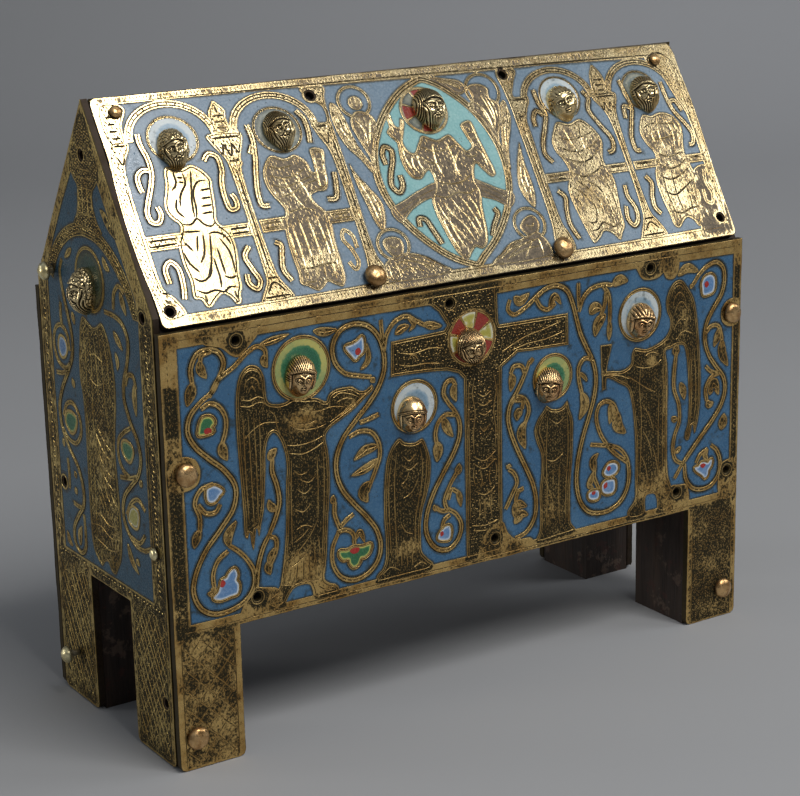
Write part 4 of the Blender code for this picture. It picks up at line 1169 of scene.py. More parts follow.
# Heights in millimetres from the metal's face; glassDrop: how far glass falls away at its edge;
# lap: how far it reaches under the metal
layers = {"metalTop": 0.0, "metalBottom": -0.4, "glassTop": -0.12, "cellTop": -0.07, "glassBottom": -0.42,
          "glassDrop": 0.03, "lap": 0.05}
holeSizes = {"open": 2.5, "glass": 3.55, "bare": 3.6}


def keepHalo(sheet, cellSheets, u, v, radius, finish, bare=0.3, ring=1.6):
    keepShape(sheet, circle(u, v, radius), bare)
    engraveLine(sheet, circle(u, v, radius - ring / 2), 0.45, 0.15, True)
    addCell(sheet, cellSheets, circle(u, v, radius - ring), finish, 4.0)


def addCell(sheet, cellSheets, outline, finish, rimWidth):  # a cell of coloured glass let into the metal
    cutShape(sheet, outline)
    if finish not in cellSheets:
        cellSheets[finish] = newSheet(layers["cellTop"], layers["glassBottom"], rimWidth)
        cellSheets[finish].update({"drop": layers["glassDrop"], "made": []})
    grown = inset(outline, -layers["lap"])
    keepShape(cellSheets[finish], grown, 0.0)
    cellSheets[finish]["made"].append((len(sheet["shapes"]), grown))
    low = Vector((min(p.x for p in grown), min(p.y for p in grown)))
    high = Vector((max(p.x for p in grown), max(p.y for p in grown)))
    across, down = (max(2, int((high[k] - low[k]) / (rimWidth * 0.3))) for k in (0, 1))
    for i in range(1, across):
        for j in range(1, down):
            p = Vector((low.x + (high.x - low.x) * i / across, low.y + (high.y - low.y) * j / down))
            if inside(p, grown):
                cellSheets[finish]["loose"].append(p)


def addWheel(sheet, cellSheets, u, v, reach, lean, pair):  # a halo's eight wedges in two colours
    for k in range(8):
        start, stop = (math.tau * (k + edge) / 8 - lean for edge in (-0.42, 0.42))
        spots = [(reach, start + (stop - start) * t / 7) for t in range(8)] + [(3.4, stop), (3.4, start)]
        wedge = [Vector((u + r * math.cos(a), v + r * math.sin(a))) for r, a in spots]
        addCell(sheet, cellSheets, wedge, pair[k % 2], 1.6)


def overlap(first, second):  # whether the boxes round two outlines overlap
    return all(min(p[k] for p in first) < max(p[k] for p in second)
               and min(p[k] for p in second) < max(p[k] for p in first) for k in (0, 1))


def addLooseGrid(sheet, width, height, spacing=2.6):  # plain points, so that wear can change over a flat
    for i in range(1, int(width / spacing)):
        for j in range(1, int(height / spacing)):
            u, v = i * spacing + 0.3 * math.sin(j * 2.1), j * spacing + 0.3 * math.sin(i * 1.7)
            sheet["loose"].append((u, v))


def makePlate(side, name, node, plate, draw, metalFinish, glassFinish, vineBare=0.36):
    # order of the shapes: border, field cut out, then figures and the rest laid over it, then holes
    metal, cellSheets = newSheet(layers["metalTop"], layers["metalBottom"], 1.1), {}
    keepShape(metal, sheetOutline(plate["outline"], 0.2, plate["seed"], 0.05), plate["wear"], False)
    for field in plate["fields"]:
        cutShape(metal, field)
    first = len(metal["shapes"])
    draw(metal, cellSheets)
    last = len(metal["shapes"])
    # A ring of bare copper round each hole: wear, and painted shade that makes the hole look wider.
    for u, v in plate["holes"]:
        keepShape(metal, circle(u, v, holeSizes["bare"]), plate.get("holeWearAndShade", 0.95), False)
    for u, v in plate["holes"]:
        cutShape(metal, circle(u, v, holeSizes["open"]))
    addLooseGrid(metal, *plate["size"])
    buildSheet(name + "_gilding", metal, side, metalFinish)
    addSlab(name + "_plate", side, node, sheetOutline(plate["outline"], 0.14, plate["seed"], 0.16),
            plate["holes"], plate.get("slab", metalFinish))
    # the ground colour, cut away under all the metal that lies over it
    glass = newSheet(layers["glassTop"], layers["glassBottom"], 0.9)
    glass["drop"], lap = layers["glassDrop"], layers["lap"]
    for field in plate["fields"]:
        keepShape(glass, inset(field, -0.15), 0.0)
    for outline, bare, _ in metal["shapes"][first:last]:
        cutShape(glass, inset(outline, lap), bare is not None)
    tip, bands = plate.get("tip", 0.45), []
    for line, sizes, _ in stemLines(plate["vines"], 0.0, tip):
        left = offsetLine(line, [s - lap for s in sizes])
        right = offsetLine(line, [lap - s for s in sizes])
        bands.append((line, left + right[::-1]))
    for _, band in bands:
        cutShape(glass, band, True)
    for u, v in plate["holes"]:
        cutShape(glass, circle(u, v, holeSizes["glass"]))
    chooser = random.Random(plate["seed"])
    for _ in range(plate.get("pits", 240)):
        punchMark(glass, chooser.uniform(0, plate["size"][0]), chooser.uniform(0, plate["size"][1]),
                  chooser.uniform(0.4, 1.3), chooser.uniform(0.4, 1.0), chooser.uniform(0, 3), 0.12)
    addLooseGrid(glass, *plate["size"])
    buildSheet(name + "_glass", glass, side, glassFinish)
    for finish, sheet in cellSheets.items():
        for start, cell in sheet.get("made", []):  # metal laid over a cell later is cut out of its glass
            for outline, bare, _ in metal["shapes"][start:last]:
                if bare is not None and overlap(outline, cell):
                    cutShape(sheet, inset(outline, lap), True)
            for line, band in bands:
                if overlap(line, cell):
                    cutShape(sheet, band, True)
        buildSheet(name + "_glass_" + finish, sheet, side, finish)
    if plate["vines"]:
        buildStems(name + "_vines", plate["vines"], side, metalFinish, vineBare, tip)


front.update({
    "fields": [straightLine([(7.6, 6.4), (70, 6.0), (140, 6.3), (210, 5.6), (281, 6.6), (281, 60),
                             (281, 115.2), (200, 115.6), (120, 115.4), (60, 115.7), (7.6, 115.3)], 1.2)],
    "seed": 1.0, "size": (286, 176), "vines": frontVines, "wear": frontWear,
    "figureWear": {
        "angelLeft": wearPatches(0.95, [(60, 43, 12, 6, -0.6), (58, 103, 12, 9, -0.6),
                                        (82, 40, 10, 6, -0.35), (68, 113, 8, 4, -0.6)]),
        "mournerLeft": wearPatches(0.95, [(108, 106, 9, 8, -0.35), (110, 62, 8, 4, -0.2)]),
        "mournerRight": wearPatches(0.93, [(180, 106, 10, 10, -0.35)]),
        "angelRight": wearPatches(0.9, [(235, 47.6, 3, 2.4, -0.7), (236, 106, 14, 10, -0.42),
                                        (243, 70, 2.4, 40, -0.35), (252, 30, 8, 14, -0.2)]),
        "cross": wearPatches(0.98, [(147, 90, 6, 14, -0.28), (138, 8, 20, 8, 0.1)])},
})


def drawFront(sheet, cellSheets):
    # engraved lines and short cuts of the border
    for line in ([(3.2, 3.3), (70, 2.9), (140, 3.3), (210, 2.8), (282.6, 3.3)],
                 [(4, 118.3), (90, 118), (200, 118.4), (282, 118.1)]):
        engraveLine(sheet, straightLine(line, 2.0, False), 0.45)
    for u in (3.2, 283.2):
        v = 7.0
        while v < 116:
            punchMark(sheet, u, v + 0.8, 1.7, 0.45, 1.57)
            v += 2.5
    width, leg, foot = wall["width"], wall["leg"], wall["foot"]
    drawLeg(sheet, 0, leg, 122, foot, 3, ((1.05, 8.6), (-1.12, 8.0)), 0.16, 0.6)
    drawLeg(sheet, width - leg, width, 122, foot, 4, (), 0.6)
    halos = front["halos"]
    for name, finish in (("angelLeft", "haloGreen"), ("mournerLeft", "haloMilk"),
                         ("mournerRight", "haloGreen"), ("angelRight", "haloMilk")):
        keepHalo(sheet, cellSheets, *halos[name], finish)
    outlines = {}
    for name, points in frontFigures.items():
        outlines[name] = keepShape(sheet, smoothLine(points, 0.9, True), front["figureWear"][name])
    outlines["cross"] = keepShape(sheet, straightLine(frontCross, 1.0), front["figureWear"]["cross"])
    keepShape(sheet, straightLine([(206.8, 36.3), (213.3, 36.6), (210.6, 46), (209.8, 56), (208, 56.4),
                                   (207.2, 45)], 1.0), 0.75)
    for lobe in frontLobes:
        keepShape(sheet, smoothLine(lobe, 1.0, True), 0.46, False)
    for line, width in frontBuds:
        bud(sheet, line, width, 0.55)
    u, v, radius = halos["crucified"]
    keepShape(sheet, circle(u, v, radius), 0.4)
    engraveLine(sheet, circle(u, v, radius - 0.6), 0.4, 0.12, True)
    addWheel(sheet, cellSheets, u, v, radius - 1.3, 0.15, ("cream", "brick"))
    for kind in ("green", "milk"):
        for outline in frontCells[kind]:
            cell = smoothLine(outline, 0.6, True)
            keepShape(sheet, inset(cell, -1.35), 0.42, False)
            engraveLine(sheet, inset(cell, -0.7), 0.4, 0.12, True)
            addCell(sheet, cellSheets, cell, kind, 1.1)
    reds = cellSheets["red"] = newSheet(-0.05, -0.3, 0.5)
    reds["drop"] = 0.02
    for outline in frontCells["red"]:
        keepShape(reds, smoothLine(outline, 0.5, True), 0.0)
    for line in outlines.values():
        engraveLine(sheet, inset(line, 1.2), 0.4, 0.12, True)
    engraveAll(sheet, frontLines, 0.5, 0.13)
    for name, spacing, pitch, length, angle, seed, chance in (
            ("mournerRight", 1.35, 1.7, 1.1, 1.57, 21, 0.85), ("angelRight", 1.35, 1.7, 1.2, 1.57, 22, 0.85),
            ("mournerLeft", 1.45, 1.8, 1.2, 1.57, 23, 0.75), ("cross", 1.5, 1.5, 0.9, 0.0, 24, 0.7),
            ("angelLeft", 1.6, 2.0, 1.3, 1.57, 25, 0.6)):
        fillDashes(sheet, outlines[name], spacing, pitch, length, 0.48, angle, seed, 1.9, chance, 0.42)


makePlate("front", "front", "plate_front", front, drawFront, "frontGilt", "frontBlue")
print("stage 3: front plate made")


# The front roof slope: four seated figures under arches, and one in the middle in a pointed oval
roof = {
    "outline": [
        (2.4, 0), (277, 0), (278.7, 0.7), (279.4, 2.4), (279.4, 93.5), (278.7, 95.2), (277, 95.9),
        (2.4, 95.9), (0.7, 95.2), (0, 93.5), (0, 2.4), (0.7, 0.7),
    ],
    "holes": [(89.8, 6.3), (182.9, 4.6), (5.3, 89), (272.9, 87.1)],
    "fields": [
        straightLine([(5, 3), (70, 2.6), (140, 2.9), (210, 2.5), (275, 3), (275.2, 50), (275, 91),
                      (200, 91.4), (120, 91), (60, 91.3), (5.2, 91)], 1.2),
    ],
    "seed": 2.0, "size": (280, 96), "pits": 160, "tip": 0.85, "slab": "darkEdge", "holeWearAndShade": 0.5,
    "wear": wearPatches(0.3, [(0, 48, 3, 60, -0.2), (150, 0, 110, 3, 0.3), (140, 96, 120, 3, 0.25),
                              (279, 50, 3, 60, 0.2), (278, 84, 8, 12, 0.4)]),
    "arches": [  # middle, spring line, half width, rise
        (28, 19.2, 17.2, 16.6), (70.4, 19.4, 17.4, 16.6), (207.4, 19.8, 18.2, 17), (253.6, 19.8, 18.4, 17.6),
    ],
    "halos": [  # across, down, radius, glass
        (27.6, 19.6, 10.2, "haloMilk"), (71, 20, 10.4, "haloGrey"), (208, 18.2, 10.6, "haloMilk"),
        (253, 18.6, 10.2, "haloGrey"),
    ],
    "vines": {
        2.8: [
            [(14.6, 16), (14.4, 20), (15.6, 27), (15.2, 33), (13, 39), (10.6, 44), (8.8, 49), (9.6, 52.6),
             (12, 53), (13.8, 50), (13.4, 46.6)],
            [(15, 31.6), (12.4, 31), (9.6, 33.4), (9.2, 38), (9.6, 40)],
            [(37, 29.8), (39.6, 27.2), (42.6, 28.6), (43, 34), (41.2, 40), (40.6, 47), (41.4, 51.4),
             (44, 51), (44.6, 48), (43.6, 45)],
            [(8.6, 78), (8.8, 72), (11.4, 69.4), (13.6, 72), (13.6, 79), (12.4, 85)],
            [(43.6, 67.6), (40.8, 71.4), (42, 77), (43.6, 82.6), (41.6, 85.6), (39, 83), (39.2, 79)],
            [(54.6, 67.4), (56.6, 69), (55.4, 74), (54.4, 79.4), (56.4, 84.6)],
            [(59, 16.6), (59.4, 23), (58, 31), (55.8, 39), (54.2, 47), (54.6, 51.6), (57.4, 51.8)],
            [(56.4, 29), (58.4, 25.6)], [(81.4, 12.4), (83.6, 16), (83.8, 22), (83, 27)],
            [(89, 41), (88, 47), (86, 52.4), (82.4, 52.4)],
            [(88, 75), (87.4, 69), (84.6, 66.6), (83, 70), (85.6, 76), (86.4, 81.4), (84.4, 84),
             (82.4, 80.4)],
            [(195.6, 13.4), (196, 20), (197.6, 25.4), (195, 32), (191.6, 38.6), (190.4, 44.6), (193, 49)],
            [(196.4, 26), (193.6, 23.6), (191, 26.4), (190.4, 31)],
            [(190.2, 62.6), (192.8, 66), (191.4, 72), (190.6, 79), (192.8, 86.4)],
            [(221, 16), (223, 20), (221, 25.4), (224, 33), (228, 41.4), (226.6, 46.6), (223.6, 47.6)],
            [(243, 12.6), (244, 19), (245, 26), (242, 34), (239, 42), (239.4, 48.4), (241.6, 48.4)],
            [(244, 27), (241, 25.8), (239.6, 32)],
            [(266, 15.4), (266.4, 24), (268, 31), (272, 38), (274, 43.6), (272, 48.4), (270, 48.6)],
            [(266.6, 26), (270.4, 25.6), (272.8, 31)],
            [(226, 64.4), (225.6, 70), (227.6, 76), (226.6, 82), (223.6, 84.4), (221.6, 81), (222.8, 74.6)],
            [(239, 61.4), (241, 65), (238.8, 72), (238.4, 77.6), (240.4, 80.8)],
            [(273, 62), (271.6, 68.4), (273, 75), (271, 79.4), (268.4, 78), (268.6, 72)],
            [(112.8, 40.6), (112.8, 35.4), (114.8, 32.6), (117.2, 34.4), (116.4, 39), (113.4, 45.4),
             (112.2, 50.6), (114.6, 53.6), (117.2, 50.6), (117.4, 46)],
            [(118.6, 70), (119.4, 66.4), (122, 67), (124, 72.4), (126, 79)],
            [(155.8, 66.4), (156.8, 69), (153.4, 74), (150.6, 79)],
        ],
    },
}

roofFigures = [
    [(21.5, 30.5), (20, 33), (19.3, 37), (18, 41), (16.4, 45), (16, 49), (17.5, 52.5), (19.5, 55),
     (18.6, 58.5), (17, 61.5), (16.2, 66), (16, 72), (16.6, 78), (16, 85.5), (18.5, 86.5), (19.8, 89.8),
     (21.4, 90), (24.5, 87.3), (27.6, 85.4), (30, 87.5), (31.6, 90.6), (33.4, 90.2), (34.5, 86.3),
     (35.8, 84), (36.6, 78), (38, 72), (38.8, 66), (38.2, 61), (36.5, 58.4), (34.6, 55.6), (35.4, 51),
     (36.4, 46), (37, 41.5), (37.6, 38), (36, 34.6), (33.5, 32), (31, 30.8), (27, 32.2), (24, 31.2)],
    [(64.5, 30.8), (61, 34), (59, 38), (58.6, 43), (60, 48), (62.4, 52.6), (63, 55), (61, 60), (60, 66),
     (59.6, 74), (59.8, 82), (59.4, 86.4), (62, 88), (64, 89.6), (66, 90.6), (69, 89), (71, 87.4),
     (73.5, 89), (76.5, 90.4), (78.6, 87.5), (79.4, 80), (79.6, 72), (80.6, 64), (81, 59.5), (79.4, 56.6),
     (77, 53.5), (76, 50), (79, 48.6), (83, 48.4), (85, 45), (86, 38), (87.4, 30.6), (82, 29.6), (81.4, 35),
     (80.6, 40), (79.8, 39.8), (79, 35.6), (77, 33), (74.5, 31.4), (70, 32.6)],
    [(202, 30), (198.6, 34), (196, 39), (196.2, 44), (198.6, 49), (199.6, 54), (198, 58), (196, 62),
     (195.6, 68), (196.6, 76), (198, 84), (199.6, 89.6), (203, 88), (207, 84.8), (210.6, 86.4),
     (213.6, 90.2), (216, 87), (218.4, 84), (219.4, 76), (220.8, 68), (221.6, 60), (220, 55), (219.6, 50),
     (221.4, 45), (222.4, 41), (220.6, 36), (217.4, 31.6), (214, 29.6), (208, 31.4)],
    [(249.6, 31), (246.4, 35), (244.6, 40), (246, 46), (248.4, 50.4), (248, 54.6), (245.4, 60), (244, 66),
     (244, 74), (245, 82), (245.6, 88), (248, 89), (251, 86.4), (254, 84.6), (257, 86.2), (259, 89.8),
     (261.4, 88.6), (263, 84), (264.6, 78), (265.6, 70), (266.8, 64), (266.4, 58), (265.4, 54), (266.6, 48),
     (268.6, 42), (269, 38), (267, 34), (263.6, 31.6), (259, 30.8), (254, 32)],
]

throned = [(133.6, 29.4), (130.8, 32.6), (127.2, 36.8), (125, 35.4), (124, 31.6), (125.6, 27.6),
           (127.8, 21.6), (126.4, 20.4), (124.4, 24.4), (122.9, 23.4), (122, 18), (120.2, 18), (119.9, 23.8),
           (118, 26.2), (119.4, 29), (121, 31.4), (120.2, 38), (120.8, 44), (122.8, 48.2), (126.4, 49),
           (129.6, 46.4), (131.4, 45.4), (132.4, 49), (131, 54), (128.4, 58), (127.8, 64), (128.8, 72),
           (130.4, 80), (132.4, 85.6), (135.4, 87.6), (138.4, 84.8), (141, 82.8), (143.6, 84), (146.6, 82.4),
           (148.6, 78), (149.6, 72), (150.8, 64), (152.6, 58), (151.6, 52.6), (152.6, 48), (154.6, 45),
           (157, 48.4), (160, 52), (162.4, 51), (161.6, 42), (160.2, 33), (158.8, 24.8), (153.6, 26.2),
           (154.4, 32), (155.4, 36.6), (152.4, 38.4), (149.4, 34.4), (146.4, 30.2), (140, 32)]

ovalOuter = [(142, 1.8), (136, 3.6), (129, 7.4), (121.6, 13.6), (114.8, 21.4), (109.4, 30.4), (106.3, 40),
             (105.6, 49), (107.4, 59), (111.6, 68.4), (118, 77.6), (126, 85.6), (134, 90.6), (139.6, 92.4),
             (144.6, 88.6), (151.8, 82.8), (158.8, 75.2), (164.8, 66.4), (168.8, 57), (170.5, 47),
             (170.1, 37), (167, 26.2), (161.6, 16.6), (154.2, 8.6), (147.6, 3.8)]

roofPieces = [  # capitals, turrets, shafts, seats and the small winged figures: outline, bareness
    ([(3, 19), (10, 19), (10, 21.4), (7.4, 26), (5.8, 31), (5.8, 80), (9, 84), (11.4, 91.5), (3, 91.5)],
     0.12),
    ([(3, 3), (10, 2.4), (13, 5), (10, 12), (9, 19.4), (3, 19.4)], 0.14),
    ([(45, 9.4), (46.6, 7), (48.4, 4.8), (50.4, 6.8), (52.2, 9.6), (51.6, 12), (51.4, 18.8), (45.2, 18.8),
      (44.6, 12)], 0.3),
    ([(41, 19.6), (55.6, 19.6), (55.6, 21.8), (54.4, 25), (52.2, 30.4), (52.2, 33), (51.3, 34), (51.3, 80),
      (52, 83), (55.2, 89.4), (55.4, 91.3), (41.4, 91.3), (42.4, 89.2), (46, 83), (46.3, 80), (46.3, 34),
      (45.8, 30.4), (42.4, 24)], 0.2),
    ([(86, 18.4), (93, 18.4), (93.4, 12), (89, 8), (86, 3), (97, 3), (95.6, 9), (95.4, 40), (95.4, 80),
      (97, 84), (97, 91.4), (88.6, 91.4), (90, 82), (90.4, 79), (90.4, 33), (89.6, 29.6), (86.6, 22)], 0.3),
    ([(180, 3), (190, 3), (187, 9), (184.6, 15.6), (191.6, 16), (191.6, 18.8), (189.6, 22), (187.2, 27.4),
      (187, 34), (187, 79), (188.6, 83), (189, 91.4), (180, 91.4), (180.4, 83), (181.2, 79), (181.2, 20),
      (180.6, 12)], 0.26),
    ([(227.8, 9), (229.2, 6), (231, 3.6), (233.2, 6), (234.8, 9.6), (235.2, 18.8), (227.4, 18.8)], 0.25),
    ([(225.4, 18.6), (238.6, 18.6), (238.6, 21), (236.4, 26), (235.4, 30), (235.2, 80), (237, 83),
      (239.8, 89), (240, 91.3), (225, 91.3), (226, 88.8), (229, 83), (230.2, 80), (230.2, 30), (228, 25),
      (225.8, 21.6)], 0.22),
    ([(262, 3), (276, 3), (276, 91.3), (274.4, 80), (274.4, 32), (272.4, 26), (270, 18), (267.4, 10)], 0.3),
    ([(4, 58), (20, 58), (20, 64.4), (4, 64.4)], 0.14),
    ([(34, 57.6), (47, 57.6), (47, 63.4), (34, 63.4)], 0.16),
    ([(51, 57.2), (63, 57.2), (63, 63), (51, 63)], 0.4),
    ([(78, 57.4), (91, 57.4), (91, 63.2), (78, 63.2)], 0.5),
    ([(186, 54), (200, 54), (200, 58.6), (186, 58.6)], 0.5),
    ([(218, 53.4), (231, 53.4), (231, 58), (218, 58)], 0.5),
    ([(235, 53.4), (250, 53.4), (250, 57.8), (235, 57.8)], 0.45),
    ([(264, 53.6), (276, 53.6), (276, 58), (264, 58)], 0.4),
    ([(97.4, 10.4), (95.8, 15), (96.2, 24), (98.4, 31), (102.4, 37), (106, 43.6), (107.4, 42), (104.6, 34),
      (102.8, 28), (102.2, 22), (101.2, 16), (99.6, 11.6)], 0.22),
    ([(104.4, 17.6), (108, 15.2), (113, 17), (115, 21), (112.8, 27), (110, 33), (107.6, 38.6), (106, 34),
      (104.2, 27), (103.2, 21.6)], 0.3),
    ([(96.8, 38), (98, 42), (101.6, 49), (105.2, 56), (105.4, 60), (104, 66), (101.8, 70), (99.6, 66),
      (98.4, 58), (97, 48)], 0.25),
    ([(97, 84.4), (103, 80.8), (110, 80.6), (117, 83.4), (123, 88), (127, 91.4), (97, 91.4)], 0.5),
    ([(100, 73.4), (104, 72.4), (108, 74), (108.4, 78), (106, 81.6), (102.4, 81.6), (99.6, 77)], 0.4),
    ([(146, 2.6), (154, 4), (160.8, 6), (162.6, 10), (158, 12.4), (152.6, 8.2)], 0.4),
    ([(163, 9), (168, 7.8), (173, 10.4), (172.4, 15), (176, 18), (175, 24), (171.4, 32), (168.8, 38),
      (166.4, 30), (164, 24), (160.6, 18.4), (163.6, 14)], 0.35),
    ([(179, 16.8), (179.8, 24), (177.8, 30), (174.4, 37), (172, 44), (170.6, 50), (169.8, 42), (171.6, 33),
      (174.2, 25), (176.8, 18)], 0.25),
    ([(179.4, 37.6), (178.4, 47), (178.8, 56), (178, 64), (175.8, 69), (173, 64.6), (171.6, 58), (174, 49),
      (177, 42)], 0.25),
    ([(146, 91.4), (152, 87), (158, 83.2), (165, 81.8), (172, 79.6), (176, 84), (177, 91.4)], 0.5),
    ([(165, 77), (168.6, 73), (173, 72), (175.4, 76), (173, 80.6), (168, 81.8)], 0.4),
]

